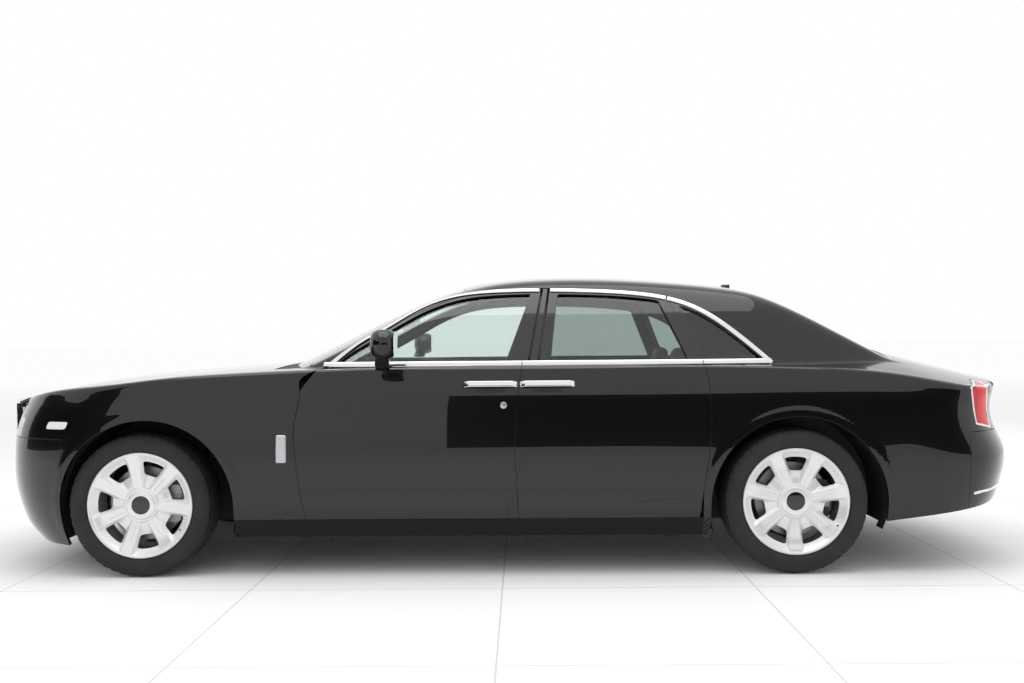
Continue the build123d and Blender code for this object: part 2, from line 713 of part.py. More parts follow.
def carrier(x, shift, caliper_side):
    """A left-hand hub carrier with its brake caliper, ball pins at top and bottom."""
    inner_y, outer_y = knuckle_y[0] + shift, knuckle_y[1] + shift
    disc_inner = front_wheel_y + shift - disc_y[1]
    disc_outer = front_wheel_y + shift - disc_y[0]
    with BuildPart() as solid:
        with BuildSketch(Plane.XZ.offset(inner_y)):
            with BuildLine():
                Polyline((x - 38, knuckle_low_z), (x + 38, knuckle_low_z), (x + 66, wheel_z - 40),
                         (x + 66, wheel_z + 40), (x + 34, knuckle_high_z),
                         (x - 34, knuckle_high_z), (x - 66, wheel_z + 40), (x - 66, wheel_z - 40),
                         close=True)
            make_face()
        extrude(amount=outer_y - inner_y)
        caliper_x = x + caliper_side * 145
        with BuildSketch(Plane.XZ.offset(inner_y)):
            with Locations((caliper_x, wheel_z)):
                RectangleRounded(76, 190, 20)
            with Locations((x + caliper_side * 85, wheel_z)):
                Rectangle(60, 90)
        extrude(amount=outer_y - inner_y + 2)
        with BuildSketch(Plane.XZ.offset(outer_y - 5)):
            with Locations((caliper_x, wheel_z)):
                RectangleRounded(76, 190, 20)
        extrude(amount=disc_outer + 26 - outer_y + 5)
        with BuildSketch(Plane.XZ.offset(disc_inner - 4)):
            with Locations((x, wheel_z)):
                Circle(disc_radius + 5)
        extrude(amount=disc_outer - disc_inner + 8, mode=Mode.SUBTRACT)
        with BuildSketch(Plane.XY.offset(eye_low_z[0])):
            with Locations((x, -kingpin_y - shift)):
                Circle(ball_radius)
        extrude(amount=eye_high_z[1] - eye_low_z[0])
        with BuildSketch(Plane.XZ.offset(500)):
            with Locations((x, wheel_z)):
                Circle(stub_radius + eye_clearance)
        extrude(amount=600, mode=Mode.SUBTRACT)
    return solid.part


def arm(x, y0, y1, z0, z1, spread, bored):
    """A forked control arm from the subframe out to its ball joint."""
    with BuildPart() as solid:
        with BuildSketch(Plane.XY.offset(z0)):
            with BuildLine():
                Polyline((x - spread, -y0), (x + spread, -y0), (x + 24, -y1 + 20),
                         (x - 24, -y1 + 20), close=True)
            make_face()
            with Locations((x, -y1)):
                Circle(27)
            with BuildLine():
                Polyline((x - spread * 0.45, -y0 - 40), (x + spread * 0.45, -y0 - 40),
                         (x, -(y0 + (y1 - y0) * 0.62)), close=True)
            make_face(mode=Mode.SUBTRACT)
            if bored:
                with Locations((x, -y1)):
                    Circle(ball_radius + eye_clearance, mode=Mode.SUBTRACT)
        extrude(amount=z1 - z0)
    return solid.part


def subframe(x, shift, tower_y, top_z, bored):
    """A cross member with side towers and two arms each side."""
    with BuildPart() as solid:
        with BuildSketch(Plane.YZ.offset(x - 130)):
            with BuildLine():
                Polyline((0, 172), (tower_y, 150), (tower_y, top_z), (tower_y - 60, top_z),
                         (tower_y - 80, 290), (tower_y - 150, cross_member_z),
                         (0, cross_member_z), close=True)
            make_face()
        extrude(amount=260)
        for z0, z1 in (eye_low_z, eye_high_z):
            add(arm(x, tower_y - 30, kingpin_y + shift, z0, z1, 110, bored).mirror(Plane.XZ))
        mirror(about=Plane.XZ)
    return solid.part


front_left_carrier = carrier(front_axle_x, 0, 1)
with BuildPart() as knuckle:
    add(front_left_carrier)
save_pair(knuckle, "knuckle")
with BuildPart() as front_subframe:
    add(subframe(front_axle_x, 0, rail_inner_y, 600, True))
save(front_subframe, "front_subframe")
rear_left_carrier = carrier(rear_axle_x, rear_carrier_shift, 1)
with BuildPart() as rear_subframe:
    add(subframe(rear_axle_x, rear_carrier_shift, 420, boot_floor_z, False))
    add(rear_left_carrier)
    add(rear_left_carrier.mirror(Plane.XZ))
save(rear_subframe, "rear_subframe")

engine_x = (-1980, -1230)
engine_foot_z = cross_member_z
with BuildPart() as engine:
    with BuildSketch(Plane.YZ.offset(engine_x[0])):
        with BuildLine():
            Polyline((-150, engine_foot_z), (150, engine_foot_z), (200, 520), (330, 720),
                     (250, 800), (-250, 800), (-330, 720), (-200, 520), close=True)
        make_face()
    extrude(amount=engine_x[1] - engine_x[0])
save(engine, "engine")

# ---- floor, bulkheads and wheel housings ---------------------------------------------------
floor_z = 215
cabin_front_x = -1170
firewall_thickness = 20
cabin_rear_x = 1010
floor_half_width = rocker_inner_y
with BuildPart() as floor_pan:
    with BuildSketch(Plane.YZ.offset(cabin_front_x)):
        with BuildLine():
            Polyline((0, 440), (110, 420), (145, floor_z + 34), (floor_half_width, floor_z + 34),
                     (floor_half_width, floor_z), (116, floor_z), (86, 390), (0, 408), close=True)
        make_face()
        mirror(about=Plane.YZ)
    extrude(amount=cabin_rear_x - cabin_front_x)
save(floor_pan, "floor_pan")
with BuildPart() as firewall:
    with BuildSketch(Plane.YZ.offset(cabin_front_x - firewall_thickness)):
        with BuildLine():
            Polyline((-760, floor_z + 34), (760, floor_z + 34), (800, 940), (0, 1000), (-800, 940),
                     close=True)
        make_face()
    extrude(amount=firewall_thickness)
save(firewall, "firewall")
bulkhead_foot, bulkhead_head = (1040, floor_z), (1160, 970)


def bulkhead_x(z):
    """Just behind the rear face of the bulkhead at a height."""
    return line_x((bulkhead_foot, bulkhead_head), z) + seam


with BuildPart() as rear_bulkhead:
    with BuildSketch(Plane.XZ.offset(-600)):
        with BuildLine():
            Polyline((cabin_rear_x, floor_z), bulkhead_foot, bulkhead_head, (2030, 990),
                     (2030, 1010), (1140, 990), close=True)
        make_face()
    extrude(amount=1200)
save(rear_bulkhead, "rear_bulkhead")
with BuildPart() as boot_floor:
    with BuildSketch(Plane.XZ.offset(-rear_housing_y)):
        with BuildLine():
            Polyline((bulkhead_x(boot_floor_z), boot_floor_z), (2500, boot_floor_z), (2536, 690),
                     (2518, 690), (2488, boot_floor_z + 16),
                     (bulkhead_x(boot_floor_z + 16), boot_floor_z + 16), close=True)
        make_face()
    extrude(amount=2 * rear_housing_y)
save(boot_floor, "boot_floor")


def wheel_housing(x, radius, inner_y, skin):
    """A left-hand liner: an arched shell closed on its inner side, out to the body's skin."""
    with BuildPart() as solid:
        with BuildSketch(Plane.XZ.offset(inner_y)):
            with Locations((x, arch_z)):
                Circle(radius + liner_wall)
            with Locations((x, arch_z - 440)):
                Rectangle(4 * radius, 600, mode=Mode.SUBTRACT)
        extrude(amount=reach - inner_y)
        with BuildSketch(Plane.XZ.offset(inner_y + liner_wall)):
            with Locations((x, arch_z)):
                Circle(radius)
        extrude(amount=reach, mode=Mode.SUBTRACT)
        with BuildSketch(Plane.XZ.offset(inner_y - 1)):
            with Locations((x, arch_z)):
                Rectangle(360, 500)
        extrude(amount=10, mode=Mode.SUBTRACT)
        add(skin, mode=Mode.INTERSECT)
    return solid.part


with BuildPart() as front_liner:
    add(wheel_housing(arch_front_x, front_liner_radius, rail_outer_y, hull_skin))
save_pair(front_liner, "front_wheel_housing")
with BuildPart() as rear_liner:
    add(wheel_housing(arch_rear_x, arch_radius, rear_housing_y, hull_rebate))
save_pair(rear_liner, "rear_wheel_housing")

# Chassis rails run from the bulkhead past the towers to the bumper beam and radiator.
rail_z, rail_height = 430, 110
beam_depth = 40
beam_half_width = 580
with BuildPart() as front_rails:
    with BuildSketch(Plane.YZ.offset(rail_front_x)):
        with Locations(((rail_inner_y + rail_outer_y) / 2, rail_z)):
            RectangleRounded(rail_outer_y - rail_inner_y, rail_height, 12)
    extrude(amount=cabin_front_x - firewall_thickness - rail_front_x)
    with BuildSketch(Plane.YZ.offset(rail_front_x)):
        with Locations((beam_half_width / 2, rail_z)):
            Rectangle(beam_half_width, rail_height)
        with Locations((0, 660)):
            Rectangle(720, 360)
    extrude(amount=beam_depth)
    with BuildSketch(Plane.YZ.offset(rail_front_x)):
        with Locations((tow_eye_y, rail_z)):
            Circle(tow_eye_radius)
    extrude(amount=60, mode=Mode.SUBTRACT)
    mirror(about=Plane.XZ)
save(front_rails, "front_rails")

# ---- interior --------------------------------------------------------------------------------
driver_y = -400
wheel_hub = Vector(-560, driver_y, 930)
column_tilt = 24
column_radius = 20
wheel_plane = Plane(origin=wheel_hub, z_dir=(cos(radians(column_tilt)), 0, sin(radians(column_tilt))))
with BuildPart() as dashboard:
    with BuildSketch(Plane.XZ.offset(-740)):
        with BuildLine():
            Polyline((cabin_front_x, 940), (-820, 1000), (-700, 985), (-660, 900), (-690, 760),
                     (-760, 680), (-1000, 660), (cabin_front_x, 700), close=True)
        make_face()
    extrude(amount=1480)
    with BuildSketch(wheel_plane.offset(-330)):
        Circle(34)
    extrude(amount=255)
    with BuildSketch(wheel_plane.offset(-100)):
        Circle(column_radius + eye_clearance)
    extrude(amount=30, mode=Mode.SUBTRACT)
save(dashboard, "dashboard")
with BuildPart() as steering_wheel:
    with BuildSketch(Plane(origin=wheel_hub, x_dir=wheel_plane.z_dir, z_dir=(0, 1, 0))) as rim_ring:
        with Locations((0, 185)):
            Circle(14)
    revolve(axis=Axis(wheel_hub, wheel_plane.z_dir))
    with BuildSketch(wheel_plane.offset(-12)):
        Circle(62)
        with PolarLocations(0, 3, start_angle=90):
            with Locations((110, 0)):
                Rectangle(130, 30)
    extrude(amount=24)
    with BuildSketch(wheel_plane.offset(-95)):
        Circle(column_radius)
    extrude(amount=90)
save(steering_wheel, "steering_wheel")


def seat(x, y, width, back_lean):
    """One seat: a cushion and a leaning back in one upholstered body."""
    with BuildPart() as solid:
        with BuildSketch(Plane.XZ.offset(-y - width / 2)):
            with BuildLine():
                Polyline((x - 280, floor_z + 34), (x + 230, floor_z + 34), (x + 300, 420),
                         (x + 380 + back_lean, 980), (x + 300 + back_lean, 1010),
                         (x + 250 + back_lean, 980), (x + 180, 560), (x - 200, 570),
                         (x - 290, 540), close=True)
            make_face()
        extrude(amount=width)
        with Locations((x + 295 + back_lean, y, 1060)):
            Box(70, 240, 130)
    return solid.part


for side_name, side in (("left", LEFT), ("right", RIGHT)):
    with BuildPart() as front_seat:
        add(seat(-300, side * 400, 490, 90))
    save(front_seat, f"front_seat_{side_name}")
with BuildPart() as rear_seats:
    for side in (LEFT, RIGHT):
        add(seat(600, side * 400, 490, 60))
save(rear_seats, "rear_seats")

# ---- mirrors ------------------------------------------------------------------------------------
with BuildPart() as mirror_left:
    with BuildSketch(Plane.XZ.offset(970)):
        with Locations((-570, 1168)):
            RectangleRounded(120, 140, 40)
    extrude(amount=180)
    with BuildSketch(Plane.XZ.offset(872)):
        with BuildLine():
            Polyline((-640, 1030), (-565, 1030), (-565, 1095), (-545, 1130), (-610, 1130),
                     (-640, 1090), close=True)
        make_face()
    extrude(amount=120)
    add(left_doors["front_door"], mode=Mode.SUBTRACT)
save_pair(mirror_left, "door_mirror")
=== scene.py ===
import math

import bpy
import numpy as np
from bpy.props import FloatProperty, FloatVectorProperty, PointerProperty
from mathutils import Matrix, Vector


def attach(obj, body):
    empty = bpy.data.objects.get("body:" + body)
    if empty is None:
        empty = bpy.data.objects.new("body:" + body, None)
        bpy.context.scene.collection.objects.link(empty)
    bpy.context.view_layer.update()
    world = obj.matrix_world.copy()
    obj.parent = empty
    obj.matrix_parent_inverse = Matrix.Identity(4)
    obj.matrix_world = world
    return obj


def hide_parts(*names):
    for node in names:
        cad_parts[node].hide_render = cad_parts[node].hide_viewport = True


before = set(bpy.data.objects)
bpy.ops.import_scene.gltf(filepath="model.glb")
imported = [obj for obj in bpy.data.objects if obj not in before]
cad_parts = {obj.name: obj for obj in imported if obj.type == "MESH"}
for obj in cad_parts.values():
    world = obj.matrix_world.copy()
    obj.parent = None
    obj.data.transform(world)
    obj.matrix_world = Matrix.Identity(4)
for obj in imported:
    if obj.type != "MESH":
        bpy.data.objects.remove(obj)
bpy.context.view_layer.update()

bl_info = {
    "name": "Luxury Sedan",
    "version": (1, 0, 0),
    "blender": (4, 5, 0),
    "location": "View3D > Sidebar > Sedan",
    "description": "Builds the finished panels, glass, wheels and cabin of a luxury sedan",
    "category": "Add Mesh",
}

SIDES = (("left", -1), ("right", 1))
MM = 0.001
TILE_SIDE = 1.2
CAMERA_PLACE = (0.1068, -6.2197, 1.1727)
CAMERA_YAW, CAMERA_ROLL = -0.0102, -0.0089


def metres(rows):
    """Rows of millimetres as an array of metres."""
    return np.array(rows, float) * MM


# ---- curves and shapes of the body --------------------------------------------------------


def smooth(knots, values, start=None, end=None):
    """A cubic through the values whose slope and bend agree where its pieces meet.
    An end without a given slope is straight, and runs on straight beyond it."""
    x, y = np.asarray(knots, float), np.asarray(values, float)
    n, h = len(x), np.diff(x)
    a, r = np.zeros((n, n)), np.zeros(n)
    i = np.arange(1, n - 1)
    a[i, i - 1], a[i, i], a[i, i + 1] = h[:-1], 2 * (h[:-1] + h[1:]), h[1:]
    rise = np.diff(y) / h
    r[i] = 6 * np.diff(rise)
    a[0, 0] = a[-1, -1] = 1
    if start is not None:
        a[0, :2], r[0] = (2 * h[0], h[0]), 6 * (rise[0] - start)
    if end is not None:
        a[-1, -2:], r[-1] = (h[-1], 2 * h[-1]), 6 * (end - rise[-1])
    m = np.linalg.solve(a, r)
    first = rise[0] - h[0] * (2 * m[0] + m[1]) / 6
    last = rise[-1] + h[-1] * (m[-2] + 2 * m[-1]) / 6

    def at(s):
        s = np.asarray(s, float)
        held = np.clip(s, x[0], x[-1])
        k = np.clip(np.searchsorted(x, held) - 1, 0, n - 2)
        u, v, g = held - x[k], x[k + 1] - held, h[k]
        value = (m[k] * v**3 + m[k + 1] * u**3) / (6 * g)
        value += (y[k] / g - m[k] * g / 6) * v + (y[k + 1] / g - m[k + 1] * g / 6) * u
        return value + first * np.minimum(s - x[0], 0) + last * np.maximum(s - x[-1], 0)

    return at


def softer(a, b, width):
    """The smaller of two heights, rounded where they come within a width of each other."""
    h = np.maximum(width - np.abs(a - b), 0) / width
    return np.minimum(a, b) - h**3 * width / 6


def higher(a, b, width):
    """The larger of two heights, filleted where they come within a width of each other."""
    return -softer(-a, -b, width)


HALF_LENGTH, HALF_WIDTH = 2.7, 0.974
WATERLINES = metres([
    (140, 130, 90, 190), (230, 64, 50, 110), (300, 38, 24, 66), (430, 6, 6, 18),
    (600, 0, 0, 0), (730, 12, 3, 55), (850, 55, 11, 62), (945, 120, 26, 40),
    (1010, 190, 48, 60), (1150, 330, 140, 160),
])
NOSE_PLAN = metres([(0, 0), (25, 400), (90, 600), (220, 800), (500, 950), (900, 974)])
TAIL_PLAN = metres([(0, 0), (10, 400), (100, 700), (250, 880), (700, 960), (1300, 973)])
nose_in, side_in, tail_in = (smooth(WATERLINES[:, 0], WATERLINES[:, k]) for k in (1, 2, 3))

plan_points = np.vstack([
    NOSE_PLAN + (-HALF_LENGTH, 0), [(0, HALF_WIDTH)],
    TAIL_PLAN[::-1] * (-1, 1) + (HALF_LENGTH, 0),
])
plan_knots = np.r_[0, np.cumsum(np.hypot(*np.diff(plan_points, axis=0).T))]
PLAN_END = plan_knots[-1]
at_nose = np.r_[np.ones(6), np.zeros(7)]
plan_x = smooth(plan_knots, plan_points[:, 0], 0, 0)
plan_nose = smooth(plan_knots, at_nose, 0, 0)
plan_tail = smooth(plan_knots, np.r_[np.zeros(7), np.ones(6)], 0, 0)
plan_y = smooth(plan_knots, plan_points[:, 1] / HALF_WIDTH, 1, -1)


def flank(t, z):
    """The right-hand body side: distance t along the plan from nose to tail, at height z."""
    x = plan_x(t) + nose_in(z) * plan_nose(t) - tail_in(z) * plan_tail(t)
    return x, (HALF_WIDTH - side_in(z)) * plan_y(t)


plan_table = np.linspace(0, PLAN_END, 3000)
plan_table_x = plan_x(plan_table)


def plan_at(x, z):
    """The distance along the plan at which the flank passes x, by a few Newton steps."""
    t = np.interp(x, plan_table_x, plan_table)
    for _ in range(5):
        here = flank(t, z)[0]
        slope = (flank(t + 1e-4, z)[0] - here) / 1e-4
        t = np.clip(t - (here - x) / np.maximum(slope, 0.05), 0, PLAN_END)
    return t


def half_width(x, z):
    """Half the body's width below the waist at x and z."""
    return flank(plan_at(x, z), z)[1]


SHOULDER_Y = 0.85
TOP_LINE = metres([
    (-2760, 770, 740), (-2614, 878, 850), (-2501, 919, 890), (-2388, 944, 920),
    (-2274, 967, 943), (-1991, 1006, 976), (-1709, 1026, 1006), (-1427, 1045, 1024),
    (-1145, 1062, 1036), (-700, 1078, 1046), (300, 1080, 1048), (1300, 1092, 1046),
    (1764, 1122, 1030), (2028, 1124, 1004), (2203, 1082, 972), (2320, 1050, 947),
    (2553, 989, 900), (2760, 938, 850),
])
ridge = smooth(TOP_LINE[:, 0], TOP_LINE[:, 1])
shoulder = smooth(TOP_LINE[:, 0], TOP_LINE[:, 2])


def deck(x, y):
    """Bonnet, waist and boot deck: a ridge along the car that falls off as y squared."""
    return ridge(x) - (ridge(x) - shoulder(x)) * (y / SHOULDER_Y) ** 2


CABIN_LEVELS = metres([(980, 918), (1046, 893), (1150, 850), (1250, 800), (1350, 742),
                       (1450, 668), (1600, 545)])
CABIN_PLAN = np.array([(-1.4, 0.80), (-1.0, 0.905), (-0.5, 0.975), (0.2, 1.0), (0.9, 0.985),
                       (1.5, 0.905), (2.2, 0.70)])
ROOF_LINE = metres([
    (-1400, 950, 60), (-1150, 1072, 62), (-1000, 1143, 64), (-800, 1240, 64),
    (-600, 1336, 62), (-400, 1424, 58), (-200, 1489, 54), (0, 1522, 50), (300, 1536, 48),
    (858, 1515, 48), (1152, 1486, 48), (1330, 1456, 52), (1503, 1394, 58), (1736, 1281, 64),
    (2028, 1129, 68), (2250, 1012, 70),
])
CROWN_Y = 0.65
cabin_share = smooth(*CABIN_PLAN.T)
cabin_rise = smooth(CABIN_LEVELS[::-1, 1], CABIN_LEVELS[::-1, 0])
cabin_level = smooth(CABIN_LEVELS[:, 0], CABIN_LEVELS[:, 1])
roof_ridge = smooth(ROOF_LINE[:, 0], ROOF_LINE[:, 1])
roof_fall = smooth(ROOF_LINE[:, 0], ROOF_LINE[:, 2])
CANT_WIDTH, BASE_WIDTH = 0.10, 0.045


def roof(x, y):
    """Windscreen, roof and rear window: one profile that falls off as y squared."""
    return roof_ridge(x) - roof_fall(x) * (y / CROWN_Y) ** 2


def cabin(x, y):
    """The greenhouse: the roof, rounded over into the leaning side."""
    return softer(roof(x, y), cabin_rise(np.abs(y) / cabin_share(x)), CANT_WIDTH)


def top(x, y):
    """The height of the car's upper surface over a point of its plan."""
    return higher(deck(x, y), cabin(x, y), BASE_WIDTH)


def shoulder_height(t):
    """Where the flank meets the upper surface, by halving."""
    low, high = np.full(np.shape(t), 0.55), np.full(np.shape(t), 1.25)
    for _ in range(32):
        middle = (low + high) / 2
        above = top(*flank(t, middle)) > middle
        low, high = np.where(above, middle, low), np.where(above, high, middle)
    return (low + high) / 2


def inward(t):
    """The level direction square to the plan that points into the car."""
    step = 0.01
    a, b = np.clip(t - step, 0, PLAN_END), np.clip(t + step, 0, PLAN_END)
    xa, ya = flank(a, 0.9)
    xb, yb = flank(b, 0.9)
    ya = np.where(t < step, -yb, ya)
    yb = np.where(t > PLAN_END - step, -ya, yb)
    length = np.hypot(xb - xa, yb - ya)
    return (yb - ya) / length, -(xb - xa) / length


def faired(a, ta, b, tb, rows, pull=0.62):
    """A cubic blend between two points that leaves each along its own direction."""
    reach = np.linalg.norm(b - a, axis=-1, keepdims=True) * 0.56
    u = np.linspace(0, 1, rows)[None, :, None]
    a, ta, b, tb = (v[:, None, :] for v in (a, ta * reach * pull, b, tb * reach * pull))
    return (1 - u) ** 3 * a + 3 * (1 - u) ** 2 * u * (a + ta) + 3 * (1 - u) * u**2 * (b - tb) \
        + u**3 * b


def unit(v):
    return v / np.maximum(np.linalg.norm(v, axis=-1, keepdims=True), 1e-12)


ARCHES = (("front", -1.789, 0.352), ("rear", 1.478, 0.347))
ARCH_RADIUS = 0.443
BONNET_FRONT, BONNET_REAR = -2.604, -1.185
TAIL_EDGE_START = 1.75
TAIL_EDGE_PLACE, TAIL_EDGE_HEIGHT, TAIL_EDGE_SLOPE = 1.94, 0.262, 0.127
GRILLE_FACE, GRILLE_MIDDLE = -2.699, 0.653


def step(value, width):
    """A smooth rise from nought to one over a width about zero."""
    s = np.clip(value / width + 0.5, 0, 1)
    return s * s * (3 - 2 * s)


def relief(x, z):
    """How far the side stands out of its plain surface: lips round the wheel openings,
    and two creases along the foot of the doors."""
    lip = 0
    for _, cx, cz in ARCHES:
        lip = lip + 0.0040 * step(ARCH_RADIUS + 0.040 - np.hypot(x - cx, z - cz), 0.034)
    along = step(x + 1.05, 0.20) * step(0.98 - x, 0.20)
    upper, lower = 0.4325 - 0.008 * x, 0.3630 - 0.007 * x
    foot = 0.0050 * step(upper - z, 0.020) - 0.0035 * step(lower - z, 0.018)
    return lip - along * foot


def ribs(t, low, reach, pitch=0.012):
    """The outer skin as ribs across the car, one for each distance t along the plan.
    A rib climbs the flank from a height, rolls over the shoulder and runs inwards."""
    t = np.asarray(t, float)
    crest = shoulder_height(t)
    cx, cy = flank(t, crest)
    nx, ny = inward(t)
    cabin_edge = cabin_level(crest) * cabin_share(cx)
    shelf = np.where(cx > -1.6, cy - cabin_edge, 0.2)
    shelf = shelf + 0.3 * np.clip(-1.2 - cx, 0, 0.4)
    inner = np.maximum(softer(0.5 * shelf, np.full_like(shelf, 0.062), 0.03), 0.008)
    outer = 0.03 + 0.5 * inner
    start = crest - outer

    def side(z):
        x, y = flank(t, z)
        return np.stack([x, y + relief(x, z), z], -1)

    def over(d):
        x, y = cx + nx * d, cy + ny * d
        return np.stack([x, y, top(x, y)], -1)

    n = int((crest.max() - low) / pitch) + 1
    height = low + (start - low)[:, None] * np.linspace(0, 1, n)
    x, y = flank(t[:, None], height)
    wall = np.stack([x, y + relief(x, height), height], -1)
    a, b = side(start), over(inner)
    roll = faired(a, unit(a - side(start - 1e-3)), b, unit(over(inner + 1e-3) - b), 11, 1.15)
    rows = max(int(reach / 0.011), 2)
    d = inner[:, None] + np.linspace(0, 1, rows) * np.maximum(reach - inner, 0.02)[:, None]
    x, y = cx[:, None] + nx[:, None] * d, cy[:, None] + ny[:, None] * d
    return np.concatenate([wall, roll[:, 1:-1], np.stack([x, y, top(x, y)], -1)], 1)


# ---- meshes as arrays ---------------------------------------------------------------------


def grid_normals(p):
    """Outward normals of a grid from the differences of its neighbours."""
    return unit(np.cross(np.gradient(p, axis=0), np.gradient(p, axis=1)))


def grid_faces(rows, columns, wrap=False):
    """Triangles of a grid, two to a cell, closed round its second way if asked."""
    i = np.arange(rows - 1)[:, None]
    j = np.arange(columns if wrap else columns - 1)[None, :]
    k = (j + 1) % columns
    a, b, c, d = i * columns + j, (i + 1) * columns + j, (i + 1) * columns + k, i * columns + k
    return np.concatenate([np.stack([a, b, c], -1).reshape(-1, 3),
                           np.stack([a, c, d], -1).reshape(-1, 3)])


def surface(p, flip=False):
    """A grid of points as (points, normals, triangles)."""
    n = grid_normals(p)
    f = grid_faces(*p.shape[:2])
    if flip:
        n, f = -n, f[:, ::-1]
    return p.reshape(-1, 3), n.reshape(-1, 3), f


def clipped(mesh, value):
    """Keeps the part of a mesh where a value at its corners is above zero.
    A triangle that the zero line crosses is cut along it."""
    p, n, f = mesh
    inside = value > 0
    count = inside[f].sum(1)
    whole = f[count == 3]
    one, two = f[count == 1], f[count == 2]
    turn = np.argmax(inside[one], 1)
    one = np.take_along_axis(one, (turn[:, None] + [0, 1, 2]) % 3, 1)
    turn = np.argmin(inside[two], 1)
    two = np.take_along_axis(two, (turn[:, None] + [0, 1, 2]) % 3, 1)
    edges = np.concatenate([one[:, [0, 1]], one[:, [0, 2]], two[:, [1, 0]], two[:, [2, 0]]])
    if len(edges):
        cut, place = np.unique(edges, axis=0, return_inverse=True)
        place = place.reshape(-1) + len(p)
        a, b = cut.T
        s = (value[a] / (value[a] - value[b]))[:, None]
        p = np.concatenate([p, p[a] + (p[b] - p[a]) * s])
        n = np.concatenate([n, unit(n[a] + (n[b] - n[a]) * s)])
        m1, m2 = len(one), len(two)
        ab, ac = place[:m1], place[m1:2 * m1]
        ba, ca = place[2 * m1:2 * m1 + m2], place[2 * m1 + m2:]
        whole = np.concatenate([
            whole, np.stack([one[:, 0], ab, ac], -1),
            np.stack([ba, two[:, 1], two[:, 2]], -1), np.stack([ba, two[:, 2], ca], -1),
        ])
    used, place = np.unique(whole, return_inverse=True)
    return p[used], n[used], place.reshape(-1, 3)


def hemmed(mesh, depth=0.012, radius=0.0016):
    """Turns the open edges of a sheet inwards round a small radius, as a pressed panel's."""
    p, n, f = mesh
    sides = np.concatenate([f[:, [0, 1]], f[:, [1, 2]], f[:, [2, 0]]])
    code = sides[:, 0] * len(p) + sides[:, 1]
    back = sides[:, 1] * len(p) + sides[:, 0]
    sides = sides[~np.isin(code, back)]
    rim, place = np.unique(sides, return_inverse=True)
    place = place.reshape(-1, 2)
    along = p[sides[:, 1]] - p[sides[:, 0]]
    out = np.zeros((len(rim), 3))
    away = np.cross(along, n[sides[:, 0]])
    np.add.at(out, place[:, 0], away)
    np.add.at(out, place[:, 1], away)
    rn = n[rim]
    out = unit(out - (out * rn).sum(1, keepdims=True) * rn)
    rings, normals = [p[rim]], [rn]
    for angle in (30, 60, 90):
        c, s = math.cos(math.radians(angle)), math.sin(math.radians(angle))
        rings.append(p[rim] + out * radius * s - rn * radius * (1 - c))
        normals.append(unit(rn * c + out * s))
    rings.append(rings[-1] - rn * depth)
    normals.append(normals[-1])
    base = len(p)
    m = len(rim)
    index = [rim] + [base + k * m + np.arange(m) for k in range(4)]
    faces = [f]
    for lower, upper in zip(index, index[1:]):
        a, b = lower[place[:, 0]], lower[place[:, 1]]
        c, d = upper[place[:, 1]], upper[place[:, 0]]
        faces += [np.stack([a, d, c], -1), np.stack([a, c, b], -1)]
    return (np.concatenate([p] + rings[1:]), np.concatenate([n] + normals[1:]),
            np.concatenate(faces))


def joined(*meshes):
    """Several meshes as one."""
    base, p, n, f = 0, [], [], []
    for mesh in meshes:
        p.append(mesh[0])
        n.append(mesh[1])
        f.append(mesh[2] + base)
        base += len(mesh[0])
    return np.concatenate(p), np.concatenate(n), np.concatenate(f)


def mirrored(mesh):
    """The same mesh on the other side of the car."""
    p, n, f = mesh
    flip = np.array([1, -1, 1])
    return p * flip, n * flip, f[:, ::-1]


def sided(mesh, side):
    """The mesh as drawn on the right, or its mirror image on the left."""
    return mesh if side > 0 else mirrored(mesh)


def sunk(mesh, depth):
    """The mesh moved along its normals."""
    p, n, f = mesh
    return p - n * depth, n, f


def inside_outline(outline, u, v):
    """How far points lie inside a closed outline, negative outside it."""
    a = np.asarray(outline, float)
    b = np.roll(a, -1, 0)
    value = np.full(u.shape, -1.0)
    lo, hi = a.min(0) - 0.05, a.max(0) + 0.05
    near = np.flatnonzero((u > lo[0]) & (u < hi[0]) & (v > lo[1]) & (v < hi[1]))
    for part in np.array_split(near, max(len(near) // 20000, 1)):
        q = np.stack([u[part], v[part]], -1)[:, None]
        d = b - a
        w = q - a
        s = np.clip((w * d).sum(-1) / np.maximum((d * d).sum(-1), 1e-18), 0, 1)
        distance = np.linalg.norm(w - d * s[..., None], axis=-1).min(1)
        over = (a[:, 1] > q[..., 1]) != (b[:, 1] > q[..., 1])
        cross = a[:, 0] + (q[..., 1] - a[:, 1]) * d[:, 0] / np.where(d[:, 1] == 0, 1e-18, d[:, 1])
        odd = ((q[..., 0] < cross) & over).sum(1) % 2 == 1
        value[part] = np.where(odd, distance, -distance)
    return value


def sweep(path, profile, across, up, closed=True):
    """A profile of (across, up) offsets carried along a path, with its own two directions
    at each point, and closed at its ends."""
    grid = path[:, None] + profile[None, :, :1] * across[:, None] \
        + profile[None, :, 1:] * up[:, None]
    n, m = grid.shape[:2]
    normal = np.cross(np.gradient(grid, axis=0), np.roll(grid, -1, 1) - np.roll(grid, 1, 1))
    middle = grid.mean(1, keepdims=True)
    sign = np.sign((normal * (grid - middle)).sum())
    f = grid_faces(n, m, True)
    p, normal = grid.reshape(-1, 3), unit(normal).reshape(-1, 3) * sign
    if sign < 0:
        f = f[:, ::-1]
    if closed:
        caps = []
        for row, outward in ((0, path[0] - path[1]), (n - 1, path[-1] - path[-2])):
            ring = grid[row]
            hub = ring.mean(0)
            k = np.arange(m)
            cap = np.stack([np.full(m, m), k, (k + 1) % m], -1)
            turn = np.cross(ring[0] - hub, ring[1] - hub) @ outward
            if turn < 0:
                cap = cap[:, ::-1]
            points = np.vstack([ring, hub])
            caps.append((points, np.tile(unit(outward), (m + 1, 1)), cap))
        return joined((p, normal, f), *caps)
    return p, normal, f


